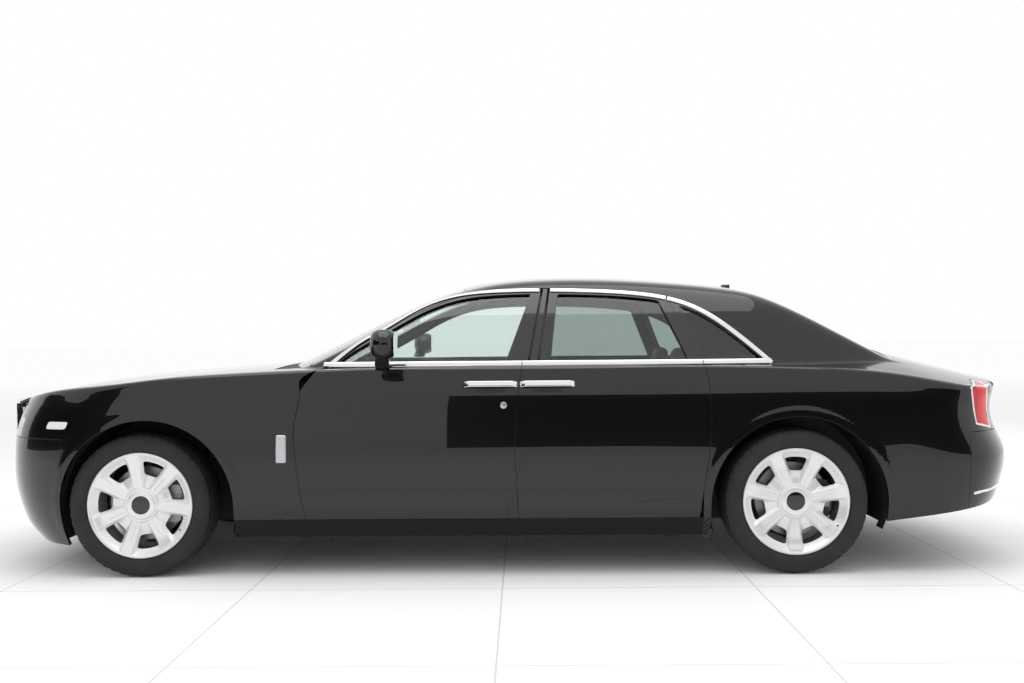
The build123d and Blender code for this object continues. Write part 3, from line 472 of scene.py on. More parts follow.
def oval(width, height, power=3.0, points=20):
    """A closed profile between an ellipse and a rectangle."""
    a = np.linspace(0, 2 * np.pi, points, endpoint=False)
    c, s = np.cos(a), np.sin(a)
    x = np.sign(c) * np.abs(c) ** (2 / power) * width / 2
    y = np.sign(s) * np.abs(s) ** (2 / power) * height / 2
    return np.stack([x, y], -1)


def resampled(points, count):
    """A smooth curve through points, at even distances."""
    points = np.asarray(points, float)
    knots = np.r_[0, np.cumsum(np.linalg.norm(np.diff(points, axis=0), axis=1))]
    s = np.linspace(0, knots[-1], count)
    return np.stack([smooth(knots, points[:, k])(s) for k in range(points.shape[1])], -1)


def lathe(profile, centre, steps=96):
    """A profile of (radius, place along the axle) turned about the car's cross axis."""
    r, h = np.asarray(profile, float).T
    a = np.linspace(0, 2 * np.pi, steps, endpoint=False)
    x = centre[0] + r[:, None] * np.cos(a)
    z = centre[2] + r[:, None] * np.sin(a)
    y = centre[1] + np.repeat(h[:, None], steps, 1)
    grid = np.stack([x, y, z], -1)
    normal = np.cross(np.gradient(grid, axis=0), np.roll(grid, -1, 1) - np.roll(grid, 1, 1))
    return grid.reshape(-1, 3), unit(normal).reshape(-1, 3), grid_faces(len(r), steps, True)


# ---- objects ------------------------------------------------------------------------------


def put(name, mesh, finish, body, stands_for=(), smooth_shading=True):
    """Makes a mesh an object that rides on a body, with its finish, and hides the CAD nodes it
    stands for.
    """
    p, n, f = mesh
    data = bpy.data.meshes.new(name)
    data.vertices.add(len(p))
    data.vertices.foreach_set("co", np.ascontiguousarray(p, np.float32).ravel())
    data.loops.add(f.size)
    data.loops.foreach_set("vertex_index", np.ascontiguousarray(f, np.int32).ravel())
    data.polygons.add(len(f))
    data.polygons.foreach_set("loop_start", np.arange(0, f.size, 3, dtype=np.int32))
    data.polygons.foreach_set("loop_total", np.full(len(f), 3, np.int32))
    data.update(calc_edges=True)
    data.validate()
    data.polygons.foreach_set("use_smooth", np.full(len(data.polygons), smooth_shading))
    if smooth_shading and n is not None and len(data.vertices) == len(n):
        data.normals_split_custom_set_from_vertices(n.tolist())
    data.materials.append(finish)
    piece = bpy.data.objects.new(name, data)
    bpy.context.scene.collection.objects.link(piece)
    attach(piece, body)
    for node in stands_for:
        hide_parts(node)
    return piece


# ---- finishes -----------------------------------------------------------------------------


def finish_nodes(name, colour, **sockets):
    """A material with a shader set up, its node tree and its shader."""
    found = bpy.data.materials.new(name)
    found.use_nodes = True
    tree = found.node_tree
    shader = tree.nodes["Principled BSDF"]
    shader.inputs["Base Color"].default_value = (*colour[:3], 1)
    for socket, value in sockets.items():
        shader.inputs[socket.replace("_", " ")].default_value = value
    return found, tree, shader


def coordinates(tree, scale=1.0):
    """Object coordinates through a Mapping node."""
    where = tree.nodes.new("ShaderNodeTexCoord")
    mapping = tree.nodes.new("ShaderNodeMapping")
    mapping.inputs["Scale"].default_value = (scale, scale, scale) if np.isscalar(scale) else scale
    tree.links.new(where.outputs["Object"], mapping.inputs["Vector"])
    return mapping.outputs["Vector"]


def noise(tree, vector, scale, detail=4.0, roughness=0.55):
    node = tree.nodes.new("ShaderNodeTexNoise")
    node.inputs["Scale"].default_value = scale
    node.inputs["Detail"].default_value = detail
    node.inputs["Roughness"].default_value = roughness
    tree.links.new(vector, node.inputs["Vector"])
    return node.outputs["Fac"]


def spread(tree, value, low, high, source=(0.0, 1.0)):
    """A value carried from one range to another."""
    node = tree.nodes.new("ShaderNodeMapRange")
    for key, number in zip(("From Min", "From Max", "To Min", "To Max"), (*source, low, high)):
        node.inputs[key].default_value = number
    tree.links.new(value, node.inputs["Value"])
    return node.outputs["Result"]


def tinted(tree, value, low, high):
    """A colour between two, by a value."""
    node = tree.nodes.new("ShaderNodeMix")
    node.data_type = "RGBA"
    node.inputs["A"].default_value = (*low[:3], 1)
    node.inputs["B"].default_value = (*high[:3], 1)
    tree.links.new(value, node.inputs["Factor"])
    return node.outputs["Result"]


def bumped(tree, shader, height, strength, distance):
    node = tree.nodes.new("ShaderNodeBump")
    node.inputs["Strength"].default_value = strength
    node.inputs["Distance"].default_value = distance
    tree.links.new(height, node.inputs["Height"])
    tree.links.new(node.outputs["Normal"], shader.inputs["Normal"])


def make_finishes():
    """Every finish of the car, each with the grain and wear of the real one."""
    looks = bpy.context.scene.sedan_looks
    made = {}

    found, tree, shader = finish_nodes(
        "black_paint", looks.paint_colour, Roughness=0.28, Metallic=0.0,
        Coat_Weight=1.0, Coat_Roughness=0.012, Coat_IOR=1.5)
    shader.inputs["Specular IOR Level"].default_value = 0.1
    where = coordinates(tree)
    flake = noise(tree, where, 900.0, 2.0)
    dark = tuple(v * 0.8 for v in looks.paint_colour)
    tree.links.new(tinted(tree, flake, dark, looks.paint_colour), shader.inputs["Base Color"])
    tree.links.new(spread(tree, noise(tree, where, 3.0), 0.22, 0.32), shader.inputs["Roughness"])
    made["paint"] = found

    found, tree, shader = finish_nodes("sill_black", looks.paint_colour, Roughness=0.34)
    shader.inputs["Specular IOR Level"].default_value = 0.22
    where = coordinates(tree)
    tree.links.new(spread(tree, noise(tree, where, 7.0), 0.28, 0.42), shader.inputs["Roughness"])
    made["sill"] = found

    found, tree, shader = finish_nodes("polished_chrome", looks.chrome_colour, Metallic=1.0,
                                       Roughness=0.06)
    where = coordinates(tree)
    tree.links.new(spread(tree, noise(tree, where, 25.0), 0.04, 0.10), shader.inputs["Roughness"])
    made["chrome"] = found

    found, tree, shader = finish_nodes("satin_metal", (0.55, 0.56, 0.58), Metallic=1.0,
                                       Roughness=0.25)
    where = coordinates(tree)
    tree.links.new(spread(tree, noise(tree, where, 60.0), 0.2, 0.34), shader.inputs["Roughness"])
    made["satin"] = found

    found, tree, shader = finish_nodes("gloss_black_trim", (0.006, 0.006, 0.007), Roughness=0.08,
                                       Coat_Weight=0.6, Coat_Roughness=0.03)
    where = coordinates(tree)
    tree.links.new(spread(tree, noise(tree, where, 12.0), 0.05, 0.12), shader.inputs["Roughness"])
    made["piano"] = found

    found, tree, shader = finish_nodes("grained_black_plastic", (0.014, 0.014, 0.015),
                                       Roughness=0.62)
    where = coordinates(tree)
    grain = noise(tree, where, 480.0, 3.0)
    tree.links.new(spread(tree, grain, 0.5, 0.75), shader.inputs["Roughness"])
    bumped(tree, shader, grain, 0.25, 0.0006)
    made["plastic"] = found

    found, tree, shader = finish_nodes("window_glass", looks.glass_colour, Roughness=0.0,
                                       IOR=1.5, Transmission_Weight=1.0)
    where = coordinates(tree)
    tree.links.new(spread(tree, noise(tree, where, 2.0), 0.0, 0.012), shader.inputs["Roughness"])
    made["glass"] = found

    found, tree, shader = finish_nodes("privacy_glass", looks.rear_glass_colour, Roughness=0.0,
                                       IOR=1.5, Transmission_Weight=1.0)
    where = coordinates(tree)
    tree.links.new(spread(tree, noise(tree, where, 2.0), 0.0, 0.012), shader.inputs["Roughness"])
    made["dark_glass"] = found

    found, tree, shader = finish_nodes("lamp_lens", (0.96, 0.97, 0.98), Roughness=0.01, IOR=1.5,
                                       Transmission_Weight=1.0)
    where = coordinates(tree)
    tree.links.new(spread(tree, noise(tree, where, 8.0), 0.0, 0.03), shader.inputs["Roughness"])
    made["lens"] = found

    found, tree, shader = finish_nodes("clear_marker", (0.82, 0.83, 0.84), Roughness=0.12,
                                       Coat_Weight=1.0, Coat_Roughness=0.02)
    ridges = tree.nodes.new("ShaderNodeTexWave")
    ridges.inputs["Scale"].default_value = 60.0
    tree.links.new(coordinates(tree), ridges.inputs["Vector"])
    tree.links.new(tinted(tree, ridges.outputs["Fac"], (0.62, 0.63, 0.64), (0.92, 0.93, 0.94)),
                   shader.inputs["Base Color"])
    made["marker"] = found

    found, tree, shader = finish_nodes("mirror_silver", (0.9, 0.91, 0.93), Metallic=1.0,
                                       Roughness=0.01)
    where = coordinates(tree)
    tree.links.new(spread(tree, noise(tree, where, 30.0), 0.0, 0.02), shader.inputs["Roughness"])
    made["mirror"] = found

    found, tree, shader = finish_nodes("red_lens", (0.62, 0.012, 0.018), Roughness=0.16,
                                       Coat_Weight=0.25, Coat_Roughness=0.03)
    shader.inputs["Specular IOR Level"].default_value = 0.2
    shader.inputs["Emission Color"].default_value = (0.8, 0.01, 0.02, 1)
    shader.inputs["Emission Strength"].default_value = 0.12
    where = coordinates(tree, (140.0, 140.0, 1.0))
    checks = tree.nodes.new("ShaderNodeTexVoronoi")
    checks.inputs["Scale"].default_value = 1.4
    tree.links.new(where, checks.inputs["Vector"])
    tree.links.new(tinted(tree, checks.outputs["Distance"], (0.75, 0.02, 0.03),
                          (0.32, 0.004, 0.008)), shader.inputs["Base Color"])
    made["tail"] = found

    found, tree, shader = finish_nodes("tyre_rubber", (0.018, 0.018, 0.019), Roughness=0.72)
    shader.inputs["Specular IOR Level"].default_value = 0.32
    where = coordinates(tree)
    dust = noise(tree, where, 9.0, 6.0)
    tree.links.new(tinted(tree, dust, (0.013, 0.013, 0.014), (0.034, 0.033, 0.032)),
                   shader.inputs["Base Color"])
    grain = noise(tree, where, 600.0, 2.0)
    bumped(tree, shader, grain, 0.15, 0.0004)
    made["tyre"] = found

    found, tree, shader = finish_nodes("silver_lacquer", looks.wheel_colour, Metallic=0.35,
                                       Roughness=0.30, Coat_Weight=0.8, Coat_Roughness=0.04)
    where = coordinates(tree)
    tree.links.new(spread(tree, noise(tree, where, 140.0, 2.0), 0.24, 0.36),
                   shader.inputs["Roughness"])
    made["wheel"] = found

    found, tree, shader = finish_nodes("brake_iron", (0.30, 0.30, 0.31), Metallic=0.9,
                                       Roughness=0.38)
    where = coordinates(tree)
    rust = noise(tree, where, 14.0, 6.0)
    tree.links.new(tinted(tree, rust, (0.36, 0.36, 0.37), (0.20, 0.19, 0.185)),
                   shader.inputs["Base Color"])
    made["iron"] = found

    found, tree, shader = finish_nodes("coated_steel", (0.035, 0.035, 0.037), Roughness=0.55,
                                       Metallic=0.2)
    where = coordinates(tree)
    mud = noise(tree, where, 5.0, 8.0)
    tree.links.new(tinted(tree, mud, (0.024, 0.024, 0.026), (0.06, 0.057, 0.053)),
                   shader.inputs["Base Color"])
    tree.links.new(spread(tree, mud, 0.45, 0.75), shader.inputs["Roughness"])
    made["steel"] = found

    for key, name, colour in (("leather", "seat_hide", looks.hide_colour),
                              ("dash", "dark_hide", (0.035, 0.028, 0.024)),
                              ("wheelrim", "stitched_hide", (0.022, 0.021, 0.021))):
        found, tree, shader = finish_nodes(name, colour, Roughness=0.46)
        where = coordinates(tree)
        cells = tree.nodes.new("ShaderNodeTexVoronoi")
        cells.feature = "DISTANCE_TO_EDGE"
        cells.inputs["Scale"].default_value = 330.0
        tree.links.new(where, cells.inputs["Vector"])
        crease = spread(tree, cells.outputs["Distance"], 0.0, 1.0, (0.0, 0.25))
        worn = noise(tree, where, 6.0, 5.0)
        shade = tuple(v * 0.72 for v in colour[:3])
        tree.links.new(tinted(tree, worn, shade, colour), shader.inputs["Base Color"])
        tree.links.new(spread(tree, worn, 0.36, 0.55), shader.inputs["Roughness"])
        bumped(tree, shader, crease, 0.35, 0.0006)
        made[key] = found

    found, tree, shader = finish_nodes("walnut_veneer", (0.12, 0.045, 0.018), Roughness=0.2,
                                       Coat_Weight=1.0, Coat_Roughness=0.03)
    where = coordinates(tree, (6.0, 2.0, 30.0))
    figure = noise(tree, where, 3.0, 8.0, 0.7)
    tree.links.new(tinted(tree, figure, (0.05, 0.016, 0.007), (0.26, 0.11, 0.045)),
                   shader.inputs["Base Color"])
    made["wood"] = found

    found, tree, shader = finish_nodes("cut_pile_carpet", (0.03, 0.028, 0.026), Roughness=0.95,
                                       Sheen_Weight=0.4)
    where = coordinates(tree)
    pile = noise(tree, where, 700.0, 2.0)
    tree.links.new(tinted(tree, pile, (0.016, 0.015, 0.014), (0.055, 0.05, 0.046)),
                   shader.inputs["Base Color"])
    bumped(tree, shader, pile, 0.5, 0.002)
    made["carpet"] = found

    found, tree, shader = finish_nodes("roof_cloth", (0.30, 0.29, 0.27), Roughness=0.9)
    where = coordinates(tree)
    weave = noise(tree, where, 900.0, 1.0)
    tree.links.new(tinted(tree, weave, (0.25, 0.24, 0.225), (0.34, 0.33, 0.31)),
                   shader.inputs["Base Color"])
    bumped(tree, shader, weave, 0.3, 0.0005)
    made["headlining"] = found
    return made


FINISHES = {}


def look(key):
    """A finish by name, made with the others on first use."""
    if not FINISHES:
        FINISHES.update(make_finishes())
    return FINISHES[key]


# ---- outlines of the panels, in side view -------------------------------------------------

GAP = 0.002
DOOR_FOOT, BELT = 0.288, 1.046
front_shut = smooth(metres([288, 399, 602, 781, 943, 1015, 1047]),
                    metres([-988, -1011, -1034, -1038, -1014, -985, -909]))
middle_shut = smooth(metres([288, 545, 643, 788, 934, 1046]),
                     metres([79, 66, 63, 71, 85, 100]))
rear_shut = smooth(metres([288, 554, 667, 780, 926, 1046]),
                   metres([981, 1019, 1036, 1040, 1038, 1020]))
RAIL = resampled(metres([
    (-925, 1034), (-797, 1138), (-590, 1259), (-436, 1347), (-229, 1421), (-24, 1445),
    (204, 1449), (494, 1441), (725, 1423), (933, 1379), (1071, 1314), (1208, 1213),
    (1410, 1034),
]), 160)
SPLIT = smooth(*metres([(-1320, 775), (-1150, 745), (-200, 575), (300, 560), (1330, 545),
                        (2030, 600), (2260, 640)]).T)
BONNET_EDGE = smooth(*metres([(-2604, 560), (-2300, 690), (-1900, 745), (-1185, 770)]).T)


def through(ends, z):
    """Where the straight line through two side-view points crosses a height."""
    (x0, z0), (x1, z1) = ends
    return x0 + (x1 - x0) * (z - z0) / (z1 - z0)


def daylight(x, z):
    """How far a side-view point lies inside the outline of the side windows."""
    outline = np.vstack([RAIL, [(RAIL[-1, 0], 0.9), (RAIL[0, 0], 0.9)]])
    return np.where(z > BELT, inside_outline(outline, x, z), -1.0)


def outside_arches(x, z):
    """How far a side-view point lies outside both wheel openings, open downwards."""
    value = np.full(np.shape(x), 9.0)
    for _, cx, cz in ARCHES:
        above = np.hypot(x - cx, z - cz) - ARCH_RADIUS
        beside = np.abs(x - cx) - ARCH_RADIUS
        value = np.minimum(value, np.where(z > cz, above, beside))
    return value


def above_tail_edge(x, z):
    """How far a point behind the rear wheel stands above the rising lower edge."""
    above = z - TAIL_EDGE_HEIGHT - TAIL_EDGE_SLOPE * (x - TAIL_EDGE_PLACE)
    return np.where(x > TAIL_EDGE_START, above, 1.0)


def above_deck(x, y, z):
    """How far a point stands above bonnet, waist and boot deck."""
    return z - deck(x, y)


def keep(mesh, *tests):
    """Cuts a mesh by one test after another, each a function of x, |y| and z."""
    for test in tests:
        x, y, z = mesh[0].T
        mesh = clipped(mesh, test(x, np.abs(y), z))
    return mesh


def plan_span(x0, x1, pitch=0.018, z=0.7):
    """Distances along the plan between two places along the car."""
    t0, t1 = plan_at(np.array([x0, x1]), z)
    return np.linspace(t0, t1, int((t1 - t0) / pitch) + 2)


def ribbed(x0, x1, low, reach, pitch=0.018):
    return surface(ribs(plan_span(x0, x1, pitch), low, reach), True)


def wrapped(half, centre_first):
    """A half end of the car and its mirror image as one sheet."""
    other = (half * (1, -1, 1))[::-1]
    rows = [other[:-1], half] if centre_first else [half, other[1:]]
    return surface(np.concatenate(rows), True)


# ---- body panels --------------------------------------------------------------------------


def both(name, mesh, finish, body, nodes=(), per_side=False):
    """Puts a right-hand mesh and its mirror image on the two sides of the car."""
    made = []
    for side, sign in SIDES:
        rides = f"{body}_{side}" if per_side else body
        stands = [f"{node}_{side}" for node in nodes]
        made.append(put(f"{name}_{side}", sided(mesh, sign), finish, rides, stands))
    return made


def lower_door(ahead, behind):
    """The tests that cut a door's skin out of the flank, up to its waist strip."""
    return (
        lambda x, y, z: x - ahead(z) - GAP if ahead is not None else x + 9,
        lambda x, y, z: behind(z) - x - GAP,
        lambda x, y, z: z - DOOR_FOOT - GAP,
        lambda x, y, z: BELT + 0.012 - z,
        lambda x, y, z: outside_arches(x, z),
    )


def skin_of_wing():
    mesh = ribbed(-2.672, -0.88, 0.20, 0.36)
    return keep(
        mesh,
        lambda x, y, z: front_shut(z) - x - GAP,
        lambda x, y, z: outside_arches(x, z),
        lambda x, y, z: z - DOOR_FOOT - GAP,
        lambda x, y, z: y - np.where(x < BONNET_REAR, BONNET_EDGE(x), 0.774) - GAP,
        lambda x, y, z: y - 0.404,
        lambda x, y, z: np.maximum(x + 2.215, z - 0.700) - GAP,
        lambda x, y, z: 0.010 - above_deck(x, y, z),
        lambda x, y, z: -headlamp_region(x, y, z) - GAP / 2,
        lambda x, y, z: -marker_region(x, z) - GAP / 2,
    )


def headlamp_region(x, y, z):
    """How far a point of the nose lies inside the headlamp's rounded opening."""
    dy = np.abs(y - 0.622) - (0.142 - 0.02)
    dz = np.abs(z - 0.752) - (0.048 - 0.02)
    outer = np.hypot(np.maximum(dy, 0), np.maximum(dz, 0)) + np.minimum(np.maximum(dy, dz), 0)
    return np.where(x < -2.1, 0.02 - outer, -1.0)


def tail_lamp_region(x, y, z):
    """How far a point of the tail lies inside the rear lamp's opening."""
    outline = metres([(2353, 922), (2381, 735), (2500, 708), (2476, 944), (2425, 955)])
    return np.where(y > 0.60, inside_outline(outline, x, z), -1.0)


class SEDAN_OT_panels(bpy.types.Operator):
    """Presses the outer skins of wings, doors, rear quarters and sills"""
    bl_idname = "sedan.panels"
    bl_label = "Side panels"

    def execute(self, context):
        paint = look("paint")
        both("front_wing_skin", hemmed(skin_of_wing()), paint, "body", ["front_wing"])
        front = ribbed(-1.08, 0.13, 0.25, 0.06)
        front = keep(front, *lower_door(front_shut, middle_shut))
        both("front_door_skin", hemmed(front), paint, "front_door", ["front_door"], True)
        rear = ribbed(0.03, 1.07, 0.25, 0.06)
        rear = keep(rear, *lower_door(middle_shut, rear_shut))
        both("rear_door_skin", hemmed(rear), paint, "rear_door", ["rear_door"], True)
        sill = keep(ribbed(-1.40, 1.10, 0.198, 0.02), lambda x, y, z: DOOR_FOOT - GAP - z,
                    lambda x, y, z: outside_arches(x, z))
        quarter = ribbed(-1.14, 2.695, 0.18, 0.40)
        quarter = keep(
            quarter,
            lambda x, y, z: np.maximum(x - rear_shut(z) - GAP, z - BELT - 0.012),
            lambda x, y, z: np.maximum(above_deck(x, y, z) - 0.010, x - 1.0),
            lambda x, y, z: outside_arches(x, z),
            lambda x, y, z: -daylight(x, z) - 0.004,
            lambda x, y, z: np.where(x < 2.045, y - SPLIT(x), y - 0.622),
            lambda x, y, z: np.maximum(2.333 - x, z - 0.703),
            lambda x, y, z: -tail_lamp_region(x, y, z) - GAP,
            lambda x, y, z: np.maximum(x - 1.0, z - 1.0),
            lambda x, y, z: above_tail_edge(x, z),
        )
        both("body_side_skin", hemmed(quarter), paint, "body", ["body_side"])
        both("sill_skin", hemmed(sill), look("sill"), "body")
        return {"FINISHED"}


class SEDAN_OT_caps(bpy.types.Operator):
    """Presses bonnet, boot lid, roof, cowl and both bumpers"""
    bl_idname = "sedan.caps"
    bl_label = "Bonnet, boot, roof and bumpers"

    def execute(self, context):
        paint = look("paint")

        def plate(x0, x1, y1, height, pitch=0.020):
            x = np.linspace(x0, x1, int((x1 - x0) / pitch) + 2)[:, None]
            y = np.linspace(-y1, y1, int(2 * y1 / pitch) + 2)[None, :]
            x, y = x + 0 * y, y + 0 * x
            return surface(np.stack([x, y, height(x, y)], -1))

        bonnet = keep(plate(-2.62, -1.18, 0.79, bonnet_height),
                      lambda x, y, z: BONNET_EDGE(x) - y - GAP,
                      lambda x, y, z: x - BONNET_FRONT, lambda x, y, z: BONNET_REAR - x)
        put("bonnet_skin", hemmed(bonnet), paint, "bonnet", ["bonnet"])
        roof_mesh = keep(plate(-0.30, 1.50, 0.66, top), lambda x, y, z: SPLIT(x) - y,
                         lambda x, y, z: x + 0.190 - header_bow(y),
                         lambda x, y, z: 1.395 - header_bow(y) - x)
        put("roof_skin", roof_mesh, paint, "body", ["roof_panel"])
        cowl = keep(plate(-1.18, -0.80, 0.78, deck), lambda x, y, z: 0.772 - y,
                    lambda x, y, z: z - cabin(x, y))
        put("cowl_cover", hemmed(sunk(cowl, 0.004)), look("plastic"), "body", ["cowl"])
        t = plan_span(-2.2, -2.19)
        t = np.linspace(0, t[0] + 0.05, 86)
        bumper = wrapped(ribs(t, 0.145, 0.07), True)
        bumper = keep(bumper, lambda x, y, z: -2.215 - x - GAP, lambda x, y, z: 0.697 - z,
                      lambda x, y, z: outside_arches(x, z),
                      lambda x, y, z: np.maximum(y - 0.404, 0.432 - z))
        put("front_bumper_skin", hemmed(bumper), paint, "body", ["front_bumper"])
        t0 = plan_at(np.array([2.30]), 0.6)[0]
        t = np.linspace(t0, PLAN_END, 84)
        tail = wrapped(ribs(t, 0.20, 0.07), False)
        tail = keep(tail, lambda x, y, z: x - 2.335 - GAP, lambda x, y, z: 0.697 - z,
                    lambda x, y, z: above_tail_edge(x, z))
        put("rear_bumper_skin", hemmed(tail), paint, "body", ["rear_bumper"])
        bead = keep(tail, lambda x, y, z: 0.0065 - np.abs(z - 0.387 - 0.09 * (x - 2.287)),
                    lambda x, y, z: x - 2.36)
        put("rear_bumper_bead", hemmed(sunk(bead, -0.0035), 0.006, 0.001), look("chrome"),
            "body")
        put("boot_lid_skin", hemmed(boot_skin()), paint, "boot_lid", ["boot_lid"])
        return {"FINISHED"}


def bonnet_height(x, y):
    """The bonnet's crown with a soft ridge down its middle."""
    return deck(x, y) + 0.003 * np.exp(-(y / 0.04) ** 2)


def header_bow(y):
    """How far the screens' edges bow forwards or back at the middle of the car."""
    return 0.05 * ((y / 0.6) ** 2 - 1)


def boot_skin():
    """The boot lid: ribs along the car that climb its rear face and roll onto the deck."""
    y = np.linspace(-0.64, 0.64, 84)
    t_side = np.interp(np.abs(y), plan_y(plan_table[::-1][:900]) * HALF_WIDTH,
                       plan_table[::-1][:900])
    low, high = np.full(y.shape, 0.6), np.full(y.shape, 1.2)

    def rear_x(z):
        t = t_side.copy()
        for _ in range(6):
            _, here = flank(t, z)
            _, ahead = flank(t - 1e-4, z)
            slope = (here - ahead) / 1e-4
            t = np.clip(t - (here - np.abs(y)) / np.minimum(slope, -0.02), 0, PLAN_END)
        return flank(t, z)[0]

    for _ in range(30):
        middle = (low + high) / 2
        above = top(rear_x(middle), y) > middle
        low, high = np.where(above, middle, low), np.where(above, high, middle)
    crest = (low + high) / 2
    cx = rear_x(crest)
    rise, run = 0.03, 0.05

    def face(z):
        return np.stack([rear_x(z), y, z + 0 * y], -1)

    def over(d):
        return np.stack([cx - d, y, top(cx - d, y)], -1)

    rows = np.linspace(0, 1, 24)
    wall = np.stack([face(0.69 + (crest - rise - 0.69) * s) for s in rows], 1)
    a, b = face(crest - rise), over(np.full(y.shape, run))
    roll = faired(a, unit(a - face(crest - rise - 1e-3)), b,
                  unit(over(np.full(y.shape, run + 1e-3)) - b), 11, 1.15)
    lid = np.stack([over(run + (cx - 2.04 - run) * s) for s in np.linspace(0, 1, 36)], 1)
    mesh = surface(np.concatenate([wall, roll[:, 1:-1], lid], 1))
    return keep(mesh, lambda x, y, z: 0.618 - y, lambda x, y, z: x - 2.045 - GAP,
                lambda x, y, z: z - 0.706)


# ---- glass --------------------------------------------------------------------------------

GLASS_SINK = 0.014


class SEDAN_OT_glass(bpy.types.Operator):
    """Bends the side windows and both screens"""
    bl_idname = "sedan.glass"
    bl_label = "Glass"

    def execute(self, context):
        glass = look("glass")
        cabin_sheet = ribbed(-1.05, 1.45, 1.0, 0.40)
        panes = (
            ("front_door_glass", "front_door", None, [(0.023, 1.080), (0.149, 1.417)]),
            ("rear_door_glass", "rear_door", [(0.247, 1.078), (0.288, 1.420)],
             [(0.946, 1.075), (0.815, 1.379)]),
            ("quarter_glass", "body", [(1.038, 1.074), (0.912, 1.363)], None),
        )
        for name, body, start, end in panes:
            pane = keep(
                cabin_sheet,
                lambda x, y, z: daylight(x, z) - 0.026,
                lambda x, y, z: z - BELT - 0.006,
                lambda x, y, z: x - through(start, z) if start else 1 + 0 * x,
                lambda x, y, z: through(end, z) - x if end else 1 + 0 * x,
            )
            sides = slab(sunk(pane, GLASS_SINK), 0.004)
            tint = look("glass" if name == "front_door_glass" else "dark_glass")
            both(name + "_pane", sides, tint, body, [name], body != "body")
        x = np.linspace(-1.2, -0.12, 52)[:, None]
        y = np.linspace(-0.78, 0.78, 74)[None, :]
        x, y = x + 0 * y, y + 0 * x
        screen = surface(np.stack([x, y, roof(x, y)], -1))
        screen = keep(screen, lambda x, y, z: SPLIT(x) - y - 0.004,
                      lambda x, y, z: -0.190 + header_bow(y) - x - 0.002,
                      lambda x, y, z: z - deck(x, y) + 0.02)
        put("windscreen_pane", slab(sunk(screen, 0.004), 0.006), glass, "body",
            ["windscreen"])
        x = np.linspace(1.33, 2.06, 42)[:, None] + 0 * y[:1]
        y = y[:1] + 0 * x
        back = surface(np.stack([x, y, roof(x, y)], -1))
        back = keep(back, lambda x, y, z: SPLIT(x) - y - 0.004,
                    lambda x, y, z: x - 1.395 + header_bow(y) - 0.002,
                    lambda x, y, z: 2.041 - x, lambda x, y, z: z - deck(x, y) + 0.015)
        put("rear_window_pane", slab(sunk(back, 0.004), 0.006), look("dark_glass"), "body",
            ["rear_window"])
        return {"FINISHED"}


def slab(mesh, thickness):
    """A closed plate: the sheet, its back, and a wall round its edge."""
    p, n, f = mesh
    sides = np.concatenate([f[:, [0, 1]], f[:, [1, 2]], f[:, [2, 0]]])
    code, back = sides[:, 0] * len(p) + sides[:, 1], sides[:, 1] * len(p) + sides[:, 0]
    sides = sides[~np.isin(code, back)]
    m = len(p)
    wall = np.concatenate([np.stack([sides[:, 1], sides[:, 0], sides[:, 0] + m], -1),
                           np.stack([sides[:, 1], sides[:, 0] + m, sides[:, 1] + m], -1)])
    return (np.concatenate([p, p - n * thickness]), np.concatenate([n, -n]),
            np.concatenate([f, f[:, ::-1] + m, wall]))


# ---- bright trim --------------------------------------------------------------------------


def side_y(x, z):
    """Where the upper body's side passes a side-view point, by halving."""
    low, high = np.full(np.shape(x), 0.35), np.full(np.shape(x), 0.97)
    for _ in range(30):
        middle = (low + high) / 2
        above = top(x, middle) > z
        low, high = np.where(above, middle, low), np.where(above, high, middle)
    return (low + high) / 2


def on_side(points, lift=0.0):
    """Side-view points laid on the upper body's side, with its outward direction there."""
    x, z = np.asarray(points, float).T
    y = side_y(x, z)
    d = 0.004
    dx = (side_y(x + d, z) - side_y(x - d, z)) / (2 * d)
    dz = (side_y(x, z + d) - side_y(x, z - d)) / (2 * d)
    out = unit(np.stack([-dx, np.ones_like(dx), -dz], -1))
    return np.stack([x, y, z], -1) + out * lift, out


def strip(points, width, height, lift=0.0, power=3.0, centre=0.0):
    """A bright strip along side-view points, lying on the upper body's side."""
    path, out = on_side(points)
    along = unit(np.gradient(path, axis=0))
    across = unit(np.cross(along, out))
    profile = oval(width, height, power, 24) + (centre, lift)
    return sweep(path, profile, across, out)


def between(points, start=None, end=None):
    """The stretch of a side-view curve between two slanted lines."""
    x, z = points.T
    held = np.full(len(x), True)
    if start:
        held &= x > through(start, z) + 0.001
    if end:
        held &= x < through(end, z) - 0.001
    return points[held]


FRONT_FRAME_END = [(0.132, 1.079), (0.204, 1.447)]
REAR_FRAME_START = [(0.191, 1.079), (0.250, 1.441)]
REAR_FRAME_END = [(1.007, 1.072), (0.858, 1.398)]
FRONT_GLASS_END = [(0.023, 1.080), (0.149, 1.417)]
REAR_GLASS_START = [(0.247, 1.078), (0.288, 1.420)]
REAR_GLASS_END = [(0.946, 1.075), (0.815, 1.379)]
QUARTER_START = [(1.038, 1.074), (0.912, 1.363)]


